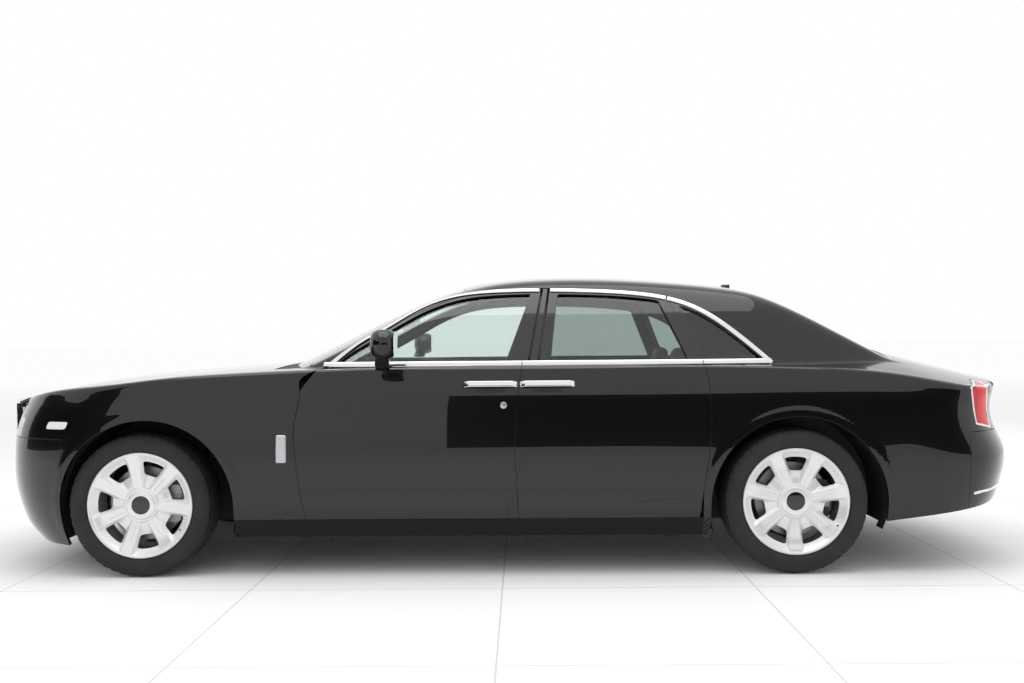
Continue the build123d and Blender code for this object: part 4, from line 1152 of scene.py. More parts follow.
class SEDAN_OT_brightwork(bpy.types.Operator):
    """Lays the bright window surrounds, waist strips and handles"""
    bl_idname = "sedan.brightwork"
    bl_label = "Bright trim"

    def execute(self, context):
        chrome, black = look("chrome"), look("piano")
        fine = resampled(RAIL, 260)
        fine = fine[fine[:, 1] > BELT + 0.01]
        edge = (0.026, 0.009)
        for name, body, start, end in (
            ("front_door_surround", "front_door", None, FRONT_FRAME_END),
            ("rear_door_surround", "rear_door", REAR_FRAME_START, REAR_FRAME_END),
            ("quarter_surround", "body", REAR_FRAME_END, None),
        ):
            points = between(fine, start, end)
            both(name, strip(points, *edge, lift=0.0015, centre=-0.012), chrome, body,
                 (), body != "body")
        z = BELT + 0.015
        for name, body, x0, x1 in (
            ("front_door_waist_strip", "front_door", -0.912, middle_shut(z) - 0.002),
            ("rear_door_waist_strip", "rear_door", middle_shut(z) + 0.002, rear_shut(z) - 0.002),
            ("quarter_waist_strip", "body", rear_shut(z) + 0.002, 1.372),
        ):
            x = np.linspace(x0, x1, int((x1 - x0) / 0.02) + 4)
            points = np.stack([x, np.full_like(x, z)], -1)
            both(name, strip(points, 0.030, 0.011, lift=0.002, power=2.6), chrome, body,
                 (), body != "body")
        sheet = ribbed(-1.05, 1.45, 1.0, 0.40)
        frames = (
            ("front_door_frame", "front_door", None, FRONT_FRAME_END, None, FRONT_GLASS_END),
            ("rear_door_frame", "rear_door", REAR_FRAME_START, REAR_FRAME_END, REAR_GLASS_START,
             REAR_GLASS_END),
            ("quarter_frame", "body", REAR_FRAME_END, None, QUARTER_START, None),
            ("centre_pillar_cover", "body", [(0.144, 1.079), (0.216, 1.447)],
             [(0.179, 1.079), (0.238, 1.441)], None, None),
        )
        for name, body, start, end, glass_start, glass_end in frames:
            def pane(x, y, z):
                value = np.minimum(daylight(x, z) - 0.027, z - BELT - 0.008)
                if glass_start:
                    value = np.minimum(value, x - through(glass_start, z))
                if glass_end:
                    value = np.minimum(value, through(glass_end, z) - x)
                return -value
            tests = [lambda x, y, z: daylight(x, z), lambda x, y, z: z - BELT - 0.002]
            if start:
                tests.append(lambda x, y, z: x - through(start, z) - 0.001)
            if end:
                tests.append(lambda x, y, z: through(end, z) - x - 0.001)
            if glass_start or glass_end:
                tests.append(pane)
            mesh = keep(sheet, *tests)
            both(name, hemmed(sunk(mesh, 0.002), 0.030, 0.001), black, body, (),
                 body != "body")
        for name, body, x0, x1 in (("front_door_handle", "front_door", -0.194, 0.080),
                                   ("rear_door_handle", "rear_door", 0.088, 0.368)):
            both(name, handle(x0, x1), chrome, body, (), True)
            # Below each pull, a dark matte patch of painted shade stands in for the shadowed finger
            # recess.
            both(name + "_recess_shade", handle_recess_shade(x0, x1), look("plastic"), body, (), True)
        y = half_width(np.array([0.008]), np.array([0.855]))[0]
        lock = lathe([(0.017, 0.0), (0.0155, 0.002), (0.012, 0.0028), (0.0005, 0.003)],
                     (0.008, y, 0.855), 40)
        both("door_lock", lock, look("satin"), "front_door", (), True)
        plate = rounded_plate(-1.1055, 0.6455, 0.052, 0.139, 0.010, 0.004)
        both("wing_plate", plate, look("satin"), "body")
        return {"FINISHED"}


def on_flank(x, z):
    """Points on the body side with its outward direction."""
    d = 0.003
    y = half_width(x, z)
    dx = (half_width(x + d, z) - half_width(x - d, z)) / (2 * d)
    dz = (half_width(x, z + d) - half_width(x, z - d)) / (2 * d)
    return np.stack([x, y, z], -1), unit(np.stack([-dx, np.ones_like(dx), -dz], -1))


def handle(x0, x1):
    """A door pull: a flat-sided bar that stands off the door and bends in at its ends."""
    x = np.linspace(x0, x1, 60)
    z = np.full_like(x, 0.9565)
    path, out = on_flank(x, z)
    end = np.minimum(x - x0, x1 - x) / 0.03
    stand = 0.026 * np.clip(end, 0, 1) ** 0.5 - 0.004
    path = path + out * stand[:, None]
    across = np.tile([0.0, 0, 1.0], (60, 1))
    across = unit(across - (across * out).sum(1, keepdims=True) * out)
    return sweep(path, oval(0.030, 0.012, 4.0, 20), across, out)


def handle_recess_shade(x0, x1):
    """A dark matte patch on the door below a door pull: painted shade standing in for the shadow in
    the finger recess, laid on the surface rather than sunk into it.
    """
    middle = (x0 + x1) / 2
    x = np.linspace(middle - 0.075, middle + 0.075, 30)
    path, out = on_flank(x, np.full_like(x, 0.9265))
    size = np.sqrt(np.clip(1 - np.abs((x - middle) / 0.0755) ** 4, 0, 1))
    across = np.tile([0.0, 0, 1.0], (30, 1))
    profile = oval(0.022, 0.004, 2.5, 16)
    grid = path[:, None] + profile[None, :, :1] * (across * size[:, None])[:, None] \
        + profile[None, :, 1:] * out[:, None]
    normal = np.broadcast_to(out[:, None], grid.shape)
    return grid.reshape(-1, 3), normal.reshape(-1, 3), grid_faces(30, 16, True)


def rounded_plate(cx, cz, width, height, corner, thickness):
    """A small pillow-edged plate on the body side."""
    u = np.linspace(-1, 1, 41)[:, None]
    v = np.linspace(-1, 1, 61)[None, :]
    x, z = cx + u * width / 2 + 0 * v, cz + v * height / 2 + 0 * u
    du = np.maximum(np.abs(u) * width / 2 - width / 2 + corner, 0)
    dv = np.maximum(np.abs(v) * height / 2 - height / 2 + corner, 0)
    edge = corner - np.hypot(du, dv)
    path, out = on_flank(x.ravel(), z.ravel())
    lift = thickness * np.clip(edge / 0.004, 0, 1) ** 0.5
    grid = path.reshape(*x.shape, 3) + out.reshape(*x.shape, 3) * lift[..., None]
    mesh = surface(grid, True)
    if mesh[1][:, 1].mean() < 0:
        mesh = (mesh[0], -mesh[1], mesh[2][:, ::-1])
    return clipped(mesh, edge.ravel() + 1e-5)


# ---- wheels -------------------------------------------------------------------------------

WHEELS = (("front", -1.83, 0.811, 98.5, "knuckle"), ("rear", 1.465, 0.830, -91.5, "body"))
WHEEL_RADIUS = 0.362
SPOKES = 7
WEB = smooth(*metres([(50, 80), (85, 82), (120, 78), (150, 70), (190, 71), (222, 83),
                      (240, 97), (253, 110), (260, 113.5), (265.5, 111)]).T)
SPOKE_FACE = smooth(*metres([(60, 86), (150, 93), (225, 102), (248, 108.5), (267, 104)]).T)
SPOKE_HALF = smooth(*metres([(60, 19), (150, 24), (250, 31)]).T)
TYRE_WALL = resampled(metres([(357, 100), (352, 111), (342, 118), (328, 124.5), (312, 127.3),
                              (296, 126.3), (283, 121), (273, 112), (267, 103)]), 30)


def moved(mesh, offset):
    p, n, f = mesh
    return p + np.asarray(offset), n, f


def tyre_mesh(steps=192):
    """A tyre about the origin: ribbed walls, four grooves and slanted shoulder blocks."""
    r, h = TYRE_WALL.T
    wall = np.stack([r, h], -1)
    rib = 0.0012 * np.exp(-((r - 0.283) / 0.0022) ** 2) + 0.0006 * np.sin(r * 1400) \
        * np.exp(-((r - 0.335) / 0.007) ** 2) - 0.0008 * np.exp(-((r - 0.3215) / 0.0012) ** 2)
    wall[:, 1] += rib
    across = np.linspace(-0.100, 0.100, 51)
    crown = np.stack([0.362 - 0.005 * (across / 0.1) ** 2, across], -1)
    section = np.vstack([wall[::-1] * (1, -1), crown[1:-1], wall])
    r, h = section.T
    a = np.linspace(0, 2 * np.pi, steps, endpoint=False)
    groove = np.max([np.clip(1.6 - np.abs(h - g) / 0.0034, 0, 1) for g in
                     (-0.066, -0.023, 0.023, 0.066)], axis=0)
    shoulder = np.clip((np.abs(h) - 0.070) / 0.004, 0, 1) * np.clip((r - 0.340) / 0.006, 0, 1)
    turn = (a[None, :] * 48 / (2 * np.pi) + 9.0 * np.abs(h)[:, None]) % 1
    cut = np.clip((0.17 - np.abs(turn - 0.5)) / 0.04, 0, 1) * shoulder[:, None]
    depth = np.maximum(groove[:, None] * 0.0065, cut * 0.0035)
    outward = np.stack([np.gradient(h), -np.gradient(r)], -1)
    outward /= np.linalg.norm(outward, axis=1, keepdims=True)
    rr = r[:, None] - depth * outward[:, :1]
    hh = h[:, None] - depth * outward[:, 1:]
    grid = np.stack([rr * np.cos(a), hh, rr * np.sin(a)], -1)
    normal = np.cross(np.gradient(grid, axis=0), np.roll(grid, -1, 1) - np.roll(grid, 1, 1))
    return grid.reshape(-1, 3), unit(normal).reshape(-1, 3), grid_faces(len(r), steps, True)


def wheel_face(phase):
    """Seven spokes and the rim's lip as one height over the wheel's plane, with the
    windows between the spokes cut out of it and turned inwards round their edges."""
    r = np.concatenate([np.linspace(0.078, 0.235, 34), np.linspace(0.238, 0.2655, 14)])
    u = np.linspace(-1, 1, 35)[:-1]
    sector = 2 * np.pi / SPOKES
    local = np.sign(u) * np.abs(u) ** 1.35 * sector / 2
    a = np.concatenate([local + k * sector for k in range(SPOKES)] + [[local[0] + 2 * np.pi]])
    turn = (a + sector / 2) % sector - sector / 2
    r, a, turn = r[:, None] + 0 * a, a + 0 * r[:, None], turn + 0 * r[:, None]
    s = r * np.sin(turn)
    ridge = np.exp(-((s - 0.0035) / 0.0026) ** 2) + 0.6 * np.exp(-((s + 0.0125) / 0.0022) ** 2)
    fade = np.clip((r - 0.092) / 0.012, 0, 1) * np.clip((0.212 - r) / 0.05, 0, 1)
    face = SPOKE_FACE(r) - 0.0022 * ridge * fade
    face = face - 1.15 * np.maximum(np.abs(s) - SPOKE_HALF(r), 0)
    h = higher(face, WEB(r), 0.006)
    a = a + math.radians(phase)
    grid = np.stack([r * np.cos(a), h, r * np.sin(a)], -1)
    middle = sector / 2 - np.abs(turn)
    chord = r * np.cos(middle) - 0.149
    window = softer(softer(chord, 0.2225 - r, 0.02), np.abs(s) - SPOKE_HALF(r) - 0.0125, 0.02)
    mesh = clipped(surface(grid, True), -window.ravel())
    return hemmed(mesh, 0.032, 0.003)


def arc_block(low, high, inner, outer, start, end, count=24):
    """A rounded block bent round the axle between two angles."""
    a = np.radians(np.linspace(start, end, count))
    ray = np.stack([np.cos(a), 0 * a, np.sin(a)], -1)
    shape = oval(outer - inner, high - low, 5.0, 24)
    size = np.clip(1 - np.abs(np.linspace(-1, 1, count)) ** 8, 0.0, 1) ** 0.25
    up = np.tile([0.0, 1.0, 0.0], (count, 1))
    path = ray * (inner + outer) / 2 + up * (low + high) / 2
    return sweep(path, shape, ray * size[:, None], up * size[:, None])


class SEDAN_OT_wheels(bpy.types.Operator):
    """Makes tyres, seven-spoke wheels, brake discs and calipers"""
    bl_idname = "sedan.wheels"
    bl_label = "Wheels"

    def execute(self, context):
        tyre = tyre_mesh()
        barrel = lathe(metres([(265.5, 111), (267, 104), (262, 98), (258, 96), (255, 60),
                               (255, -96), (262, -100), (268, -106), (264, -110), (250, -110),
                               (246, -96), (246, 40), (250, 84), (226, 84)])[::-1], (0, 0, 0), 96)
        ring = lathe(metres([(92, 70), (90, 83), (86, 90), (82, 92.5), (77, 92.5), (74, 90.5),
                             (72.5, 90.5), (71, 93), (64, 95.5), (50, 97), (47, 96.5),
                             (46, 94.5)]), (0, 0, 0), 96)
        disc = lathe(metres([(46, 94.5), (45.5, 96), (40, 97), (20, 98), (0.5, 98.4)]),
                     (0, 0, 0), 64)
        rotor = lathe(metres([(60, -29), (186, -29), (187, -28), (187, -18), (180, -17),
                              (180, -7), (187, -6), (187, 4), (186, 5), (96, 5), (94, 7),
                              (92, 40), (88, 46), (10, 46)]), (0, 0, 0), 120)
        caliper = joined(arc_block(-0.058, 0.030, 0.118, 0.208, -24, 26),
                         arc_block(0.022, 0.0335, 0.140, 0.192, -14, 16))
        valve_ray = math.radians(-31)
        reach = np.array([math.cos(valve_ray), 0, math.sin(valve_ray)])
        path = np.array([reach * 0.245 + (0, 0.082, 0), reach * 0.236 + (0, 0.112, 0)])
        square = np.tile(unit(np.cross(reach, (0, 1, 0))), (2, 1))
        valve = sweep(path, oval(0.009, 0.009, 2.0, 12), square,
                      np.cross(unit(path[1] - path[0]), square))
        for axle, x, y, phase, carrier in WHEELS:
            place = (x, y, WHEEL_RADIUS)
            wheel = f"wheel_{axle}"
            both(f"{axle}_tyre_tread", moved(tyre, place), look("tyre"), wheel,
                 [f"tyre_{axle}"], True)
            alloy = joined(wheel_face(phase), barrel)
            both(f"{axle}_alloy", moved(alloy, place), look("wheel"), wheel,
                 [f"rim_{axle}"], True)
            both(f"{axle}_centre_ring", moved(ring, place), look("wheel"), wheel, (),
                 True)
            both(f"{axle}_centre_disc", moved(disc, place), look("piano"), wheel, (),
                 True)
            both(f"{axle}_brake_disc", moved(rotor, place), look("iron"), wheel, (),
                 True)
            both(f"{axle}_valve", moved(valve, place), look("chrome"), wheel, (), True)
            both(f"{axle}_caliper", moved(caliper, place), look("iron"), carrier, (),
                 carrier != "body")
        return {"FINISHED"}


# ---- lamps, grille and mirrors ------------------------------------------------------------


def ball(centre, half, power=(2.0, 2.0), rows=33, columns=48):
    """A rounded box: a superellipsoid with its two powers, higher being squarer."""
    v = np.linspace(-np.pi / 2, np.pi / 2, rows)[:, None]
    a = np.linspace(0, 2 * np.pi, columns, endpoint=False)[None, :]

    def bent(value, n):
        return np.sign(value) * np.abs(value) ** (2 / n)

    x = bent(np.cos(v), power[1]) * bent(np.cos(a), power[0])
    y = bent(np.cos(v), power[1]) * bent(np.sin(a), power[0])
    z = bent(np.sin(v), power[1]) + 0 * a
    grid = np.stack([x, y, z], -1) * half
    normal = unit(np.sign(grid) * np.abs(grid / half) ** 1.0 / half)
    faces = grid_faces(rows, columns, True)[:, ::-1]
    return grid.reshape(-1, 3) + centre, normal.reshape(-1, 3), faces


def facing(direction, profile, centre, steps=32):
    """A profile of (radius, place) turned about a direction through a centre."""
    p, n, f = lathe(profile, (0, 0, 0), steps)
    turn = np.array(Vector((0, 1, 0)).rotation_difference(Vector(direction)).to_matrix())
    return p @ turn.T + centre, n @ turn.T, f


def rounded_frame(x, outer, inner, z, depth, corner=0.03):
    """A flat frame that faces forwards, its edges turned back round a radius."""
    y = np.linspace(-outer[0], outer[0], 80)[:, None]
    h = np.linspace(z - outer[1], z + outer[1], 44)[None, :]
    grid = np.stack([x + 0 * y * h, y + 0 * h, h + 0 * y], -1)
    mesh = surface(grid)
    mesh = (mesh[0], np.tile([-1.0, 0, 0], (len(mesh[0]), 1)), mesh[2][:, ::-1])
    if inner is not None:
        mesh = keep(mesh, lambda a, b, c: -boxed(b, c - z, *inner, 0.012))
    return hemmed(keep(mesh, lambda a, b, c: boxed(b, c - z, *outer, corner)), depth, 0.006)


def boxed(u, v, half_u, half_v, corner):
    """How far a point lies inside a rounded rectangle."""
    du, dv = np.abs(u) - half_u + corner, np.abs(v) - half_v + corner
    outer = np.hypot(np.maximum(du, 0), np.maximum(dv, 0)) + np.minimum(np.maximum(du, dv), 0)
    return corner - outer


class SEDAN_OT_face(bpy.types.Operator):
    """Makes the grille, the lamps and the door mirrors"""
    bl_idname = "sedan.face"
    bl_label = "Grille, lamps and mirrors"

    def execute(self, context):
        chrome = look("chrome")
        frame_mesh = rounded_frame(GRILLE_FACE, (0.398, 0.220), (0.366, 0.188), GRILLE_MIDDLE,
                                   0.078)
        put("grille_frame", frame_mesh, chrome, "body", ["grille"])
        bars = []
        for y in np.linspace(-0.366, 0.366, 25)[1:-1]:
            z = np.linspace(0.46, 0.846, 8)
            path = np.stack([-2.672 + 0 * z, y + 0 * z, z], -1)
            bars.append(sweep(path, oval(0.011, 0.046, 3.0, 16), np.tile([0.0, 1, 0], (8, 1)),
                              np.tile([1.0, 0, 0], (8, 1))))
        put("grille_bars", joined(*bars), chrome, "body")
        back = rounded_frame(-2.624, (0.372, 0.194), None, GRILLE_MIDDLE, 0.004)
        put("grille_back", back, look("plastic"), "body")

        nose = ribbed(-2.672, -2.10, 0.60, 0.10, 0.008)
        region = keep(nose, lambda x, y, z: headlamp_region(x, y, z) - GAP / 2,
                      lambda x, y, z: y - 0.404)
        both("headlamp_lens", slab(sunk(region, 0.001), 0.003), look("lens"), "body",
             ["headlamp"])
        bezel = keep(region, lambda x, y, z: 0.009 - headlamp_region(x, y, z))
        both("headlamp_bezel", hemmed(sunk(bezel, 0.006), 0.05, 0.002), chrome, "body")
        bowl = keep(region, lambda x, y, z: headlamp_region(x, y, z) - 0.004)
        both("headlamp_bowl", sunk(bowl, 0.052), look("satin"), "body")
        projectors = []
        for y in (0.545, 0.625, 0.70):
            near = region[0][np.argmin(np.hypot(region[0][:, 1] - y, region[0][:, 2] - 0.752))]
            centre = near + (0.038, -0.004, 0)
            projectors.append(facing((-1, 0.1, 0), metres([
                (37, -14), (36, 4), (34, 7), (31, 4), (29, -2), (27, 0), (24, 8), (16, 15),
                (7, 18), (0.4, 19)]), centre, 40))
        both("headlamp_projectors", joined(*projectors), chrome, "body")

        wing = ribbed(-2.45, -2.10, 0.70, 0.02, 0.006)
        marker = keep(wing, lambda x, y, z: marker_region(x, z) - GAP / 2,
                      lambda x, y, z: np.hypot(x + 2.207, z - 0.7695) - 0.0055)
        both("side_marker_lens", hemmed(sunk(marker, 0.0005), 0.012), look("marker"), "body")
        tail = ribbed(2.24, 2.695, 0.66, 0.25, 0.007)
        whole = keep(tail, lambda x, y, z: tail_lamp_region(x, y, z) - GAP)
        red = keep(whole, lambda x, y, z: tail_lamp_region(x, y, z) - 0.0090)
        both("tail_lamp_lens", hemmed(sunk(red, 0.0005), 0.02), look("tail"), "body",
             ["tail_lamp"])
        band = keep(whole, lambda x, y, z: 0.0080 - tail_lamp_region(x, y, z))
        both("tail_lamp_surround", hemmed(sunk(band, -0.002), 0.02, 0.002), chrome, "body")

        shell = ball((-0.573, 1.055, 1.166), (0.0635, 0.0945, 0.071), (3.4, 3.0), 41, 64)
        shell = keep(shell, lambda x, y, z: -0.522 - x)
        both("mirror_shell", hemmed(shell, 0.01), look("paint"), "front_door",
             ["door_mirror"], True)
        y = np.linspace(-1, 1, 40)[:, None]
        z = np.linspace(-1, 1, 30)[None, :]
        pane = np.stack([-0.520 + 0.003 * (y**2 + z**2), 1.055 + 0.085 * y + 0 * z,
                         1.166 + 0.062 * z + 0 * y], -1)
        pane = keep(surface(pane), lambda x, y, z: boxed(y - 1.055, z - 1.166, 0.083, 0.060, 0.03))
        both("mirror_pane", pane, look("mirror"), "front_door", (), True)
        path = np.array([(-0.604, 0.885, 1.048), (-0.600, 0.93, 1.066), (-0.594, 0.975, 1.094),
                         (-0.585, 1.02, 1.125)])
        ahead = np.tile([1.0, 0, 0], (4, 1))
        foot = sweep(resampled(path, 16), oval(0.074, 0.034, 3.0, 24),
                     np.repeat(ahead[:1], 16, 0), np.tile(unit(np.array([0, -0.45, 0.9])), (16, 1)))
        both("mirror_foot", foot, look("piano"), "front_door", (), True)
        return {"FINISHED"}


def marker_region(x, z):
    """How far a side-view point lies inside the wing's marker lamp."""
    return boxed(x + 2.246 - 0.4 * (z - 0.7695), z - 0.7695, 0.058, 0.0185, 0.009)


# ---- structure behind the skins -----------------------------------------------------------


def node_mesh(name):
    """A CAD node's own mesh in the car's frame, its loose triangles joined."""
    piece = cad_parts[name]
    data = piece.data
    p = np.empty(len(data.vertices) * 3, np.float32)
    data.vertices.foreach_get("co", p)
    turn = np.array(piece.matrix_world)
    p = p.reshape(-1, 3) @ turn[:3, :3].T + turn[:3, 3]
    data.calc_loop_triangles()
    f = np.empty(len(data.loop_triangles) * 3, np.int32)
    data.loop_triangles.foreach_get("vertices", f)
    _, first, place = np.unique(np.round(p, 5), axis=0, return_index=True, return_inverse=True)
    f = place.reshape(-1)[f].reshape(-1, 3)
    f = f[(f[:, 0] != f[:, 1]) & (f[:, 1] != f[:, 2]) & (f[:, 2] != f[:, 0])]
    return p[first], np.zeros((len(first), 3)), f


def creased(pieces, angle=32.0):
    """Shades pieces smoothly, with a crease wherever faces meet more sharply."""
    for piece in pieces if isinstance(pieces, list) else [pieces]:
        piece.data.shade_smooth()
        piece.data.set_sharp_from_angle(angle=math.radians(angle))


def below_skin(x, y, z):
    """How far a point lies under the car's outer surface, measured square to it."""
    e = 0.002
    side = half_width(x, z)
    lean = (half_width(x + e, z) - side) / e
    side = np.where(z < 1.055, (side - y) / np.sqrt(1 + lean**2), 9.0)
    height = top(x, y)
    slope = np.hypot(top(x + e, y) - height, top(x, y + e) - height) / e
    return np.minimum(side, (height - z) / np.sqrt(1 + slope**2))


def deeper(distance):
    return lambda x, y, z: below_skin(x, y, z) - distance


def shallower(distance):
    return lambda x, y, z: distance - below_skin(x, y, z)


class SEDAN_OT_structure(bpy.types.Operator):
    """Adds the inner presswork, door linings and roof lining behind the outer skins"""
    bl_idname = "sedan.structure"
    bl_label = "Inner structure"

    def execute(self, context):
        for door in ("front_door", "rear_door"):
            mesh = node_mesh(f"{door}_right")
            shell = keep(mesh, deeper(0.003), lambda x, y, z: np.maximum(
                shallower(0.075)(x, y, z), z - 1.05))
            creased(both(f"{door}_frame_shell", shell[:2] + shell[2:], look("paint"), door,
                         (), True))
            lining = keep(mesh, deeper(0.075), lambda x, y, z: 1.05 - z)
            creased(both(f"{door}_lining", lining, look("dash"), door, (), True))
        side = node_mesh("body_side_right")
        shell = keep(side, deeper(0.003), lambda x, y, z: above_tail_edge(x, z),
                     lambda x, y, z: np.where(np.abs(x - 1.0) < 0.032,
                                              deeper(0.026)(x, y, z), 1.0),
                     lambda x, y, z: np.maximum(shallower(0.03)(x, y, z), 1.05 - z))
        creased(both("body_side_shell", shell, look("paint"), "body"))
        lining = keep(side, deeper(0.03), lambda x, y, z: z - 1.05)
        creased(both("pillar_lining", lining, look("headlining"), "body"))
        wing = keep(node_mesh("front_wing_right"), deeper(0.003))
        creased(both("front_wing_shell", wing, look("paint"), "body"))
        for name, body, key, slot in (("bonnet", "bonnet", "steel", "paint"),
                                      ("boot_lid", "boot_lid", "plastic", "trim"),
                                      ("front_bumper", "body", "plastic", "trim"),
                                      ("rear_bumper", "body", "plastic", "trim")):
            inner = keep(node_mesh(name), deeper(0.003), lambda x, y, z: above_tail_edge(x, z))
            creased(put(f"{name}_inner", inner, look(key), body))
        lining = keep(node_mesh("roof_panel"), deeper(0.012))
        creased(put("roof_lining", lining, look("headlining"), "body"))
        for end, cx, cz in ARCHES:
            a = np.radians(np.linspace(-22, 202, 150))[:, None]
            x = cx + (ARCH_RADIUS + 0.0015) * np.cos(a)
            z = cz + (ARCH_RADIUS + 0.0015) * np.sin(a)
            y = half_width(x, z) - np.linspace(0.10, 0.006, 8)[None, :]
            lip = keep(surface(np.stack([x + 0 * y, y, z + 0 * y], -1)),
                       lambda x, y, z: z - 0.215)
            both(f"{end}_arch_liner", slab(lip, 0.0015), look("plastic"), "body")
        x = np.linspace(-1, 1, 41)[:, None]
        z = np.linspace(0, 1, 21)[None, :]
        fin_x = 1.290 + 0.035 * x * (1 - 0.35 * z) + 0.012 * z
        fin_z = 1.455 + 0.041 * z + 0 * x
        fin_y = 0.013 * np.sqrt(np.clip(1 - x**2, 0, 1)) * np.sqrt(np.clip(1 - z**3, 0, 1))
        half = surface(np.stack([fin_x, fin_y, fin_z], -1), True)
        put("roof_fin", joined(half, mirrored(half)), look("paint"), "body")
        for names, key in ((("floor_pan", "boot_floor", "rear_bulkhead"), "carpet"),
                           (("front_wheel_housing", "rear_wheel_housing"), "plastic"),
                           (("engine", "knuckle"), "iron"),
                           (("firewall", "front_rails", "front_subframe", "rear_subframe"),
                            "steel")):
            for node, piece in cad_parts.items():
                if node.startswith(names):
                    piece.data.materials.clear()
                    piece.data.materials.append(look(key))
        return {"FINISHED"}


# ---- cabin --------------------------------------------------------------------------------


def turned(mesh, degrees, centre):
    """A mesh tipped backwards about the cross axis, then moved to a centre."""
    p, n, f = mesh
    c, s = math.cos(math.radians(degrees)), math.sin(math.radians(degrees))
    turn = np.array([(c, 0, s), (0, 1, 0), (-s, 0, c)])
    return p @ turn.T + centre, n @ turn.T, f


def pleated(mesh, pitch, depth, axis=1, half=0.17):
    """Sunken seams across a pad at even distances."""
    p, n, f = mesh
    place = p[:, axis] - p[:, axis].mean()
    seam = np.exp(-((place + pitch / 2) % pitch - pitch / 2) ** 2 / 0.0035**2)
    fade = np.clip((half - np.abs(place)) / 0.02, 0, 1)
    return p - n * (seam * fade * depth)[:, None], n, f


def seat_parts(x, y, lean):
    """Cushion, side pads, back and headrest of one seat."""
    cushion = pleated(ball((0, 0, 0), (0.27, 0.215, 0.092), (4.5, 2.8), 35, 64), 0.075, 0.006)
    back = pleated(ball((0, 0, 0), (0.082, 0.205, 0.275), (2.8, 3.6), 35, 64), 0.075, 0.006)
    tip = 19.0
    parts = [turned(cushion, -3.0, (x - 0.02, y, 0.478)),
             turned(back, tip, (x + 0.225 + lean, y, 0.765))]
    for side in (-1, 1):
        pad = ball((0, 0, 0), (0.26, 0.045, 0.088), (3.0, 2.2), 25, 40)
        parts.append(turned(pad, -3.0, (x - 0.02, y + side * 0.205, 0.492)))
        wing = ball((0, 0, 0), (0.085, 0.042, 0.255), (2.2, 3.0), 25, 40)
        parts.append(turned(wing, tip, (x + 0.205 + lean, y + side * 0.2, 0.745)))
    head = ball((0, 0, 0), (0.045, 0.125, 0.072), (2.6, 2.8), 31, 56)
    return joined(*parts), turned(head, 12.0, (x + 0.315 + lean, y, 1.058))


def rod(start, end, radius, points=16):
    """A round bar between two points."""
    a, b = np.asarray(start, float), np.asarray(end, float)
    along = unit(b - a)
    square = unit(np.cross(along, (0.0, 0, 1) if abs(along[2]) < 0.9 else (1.0, 0, 0)))
    path = np.stack([a, (a + b) / 2, b])
    return sweep(path, oval(2 * radius, 2 * radius, 2.0, points), np.tile(square, (3, 1)),
                 np.tile(np.cross(along, square), (3, 1)))


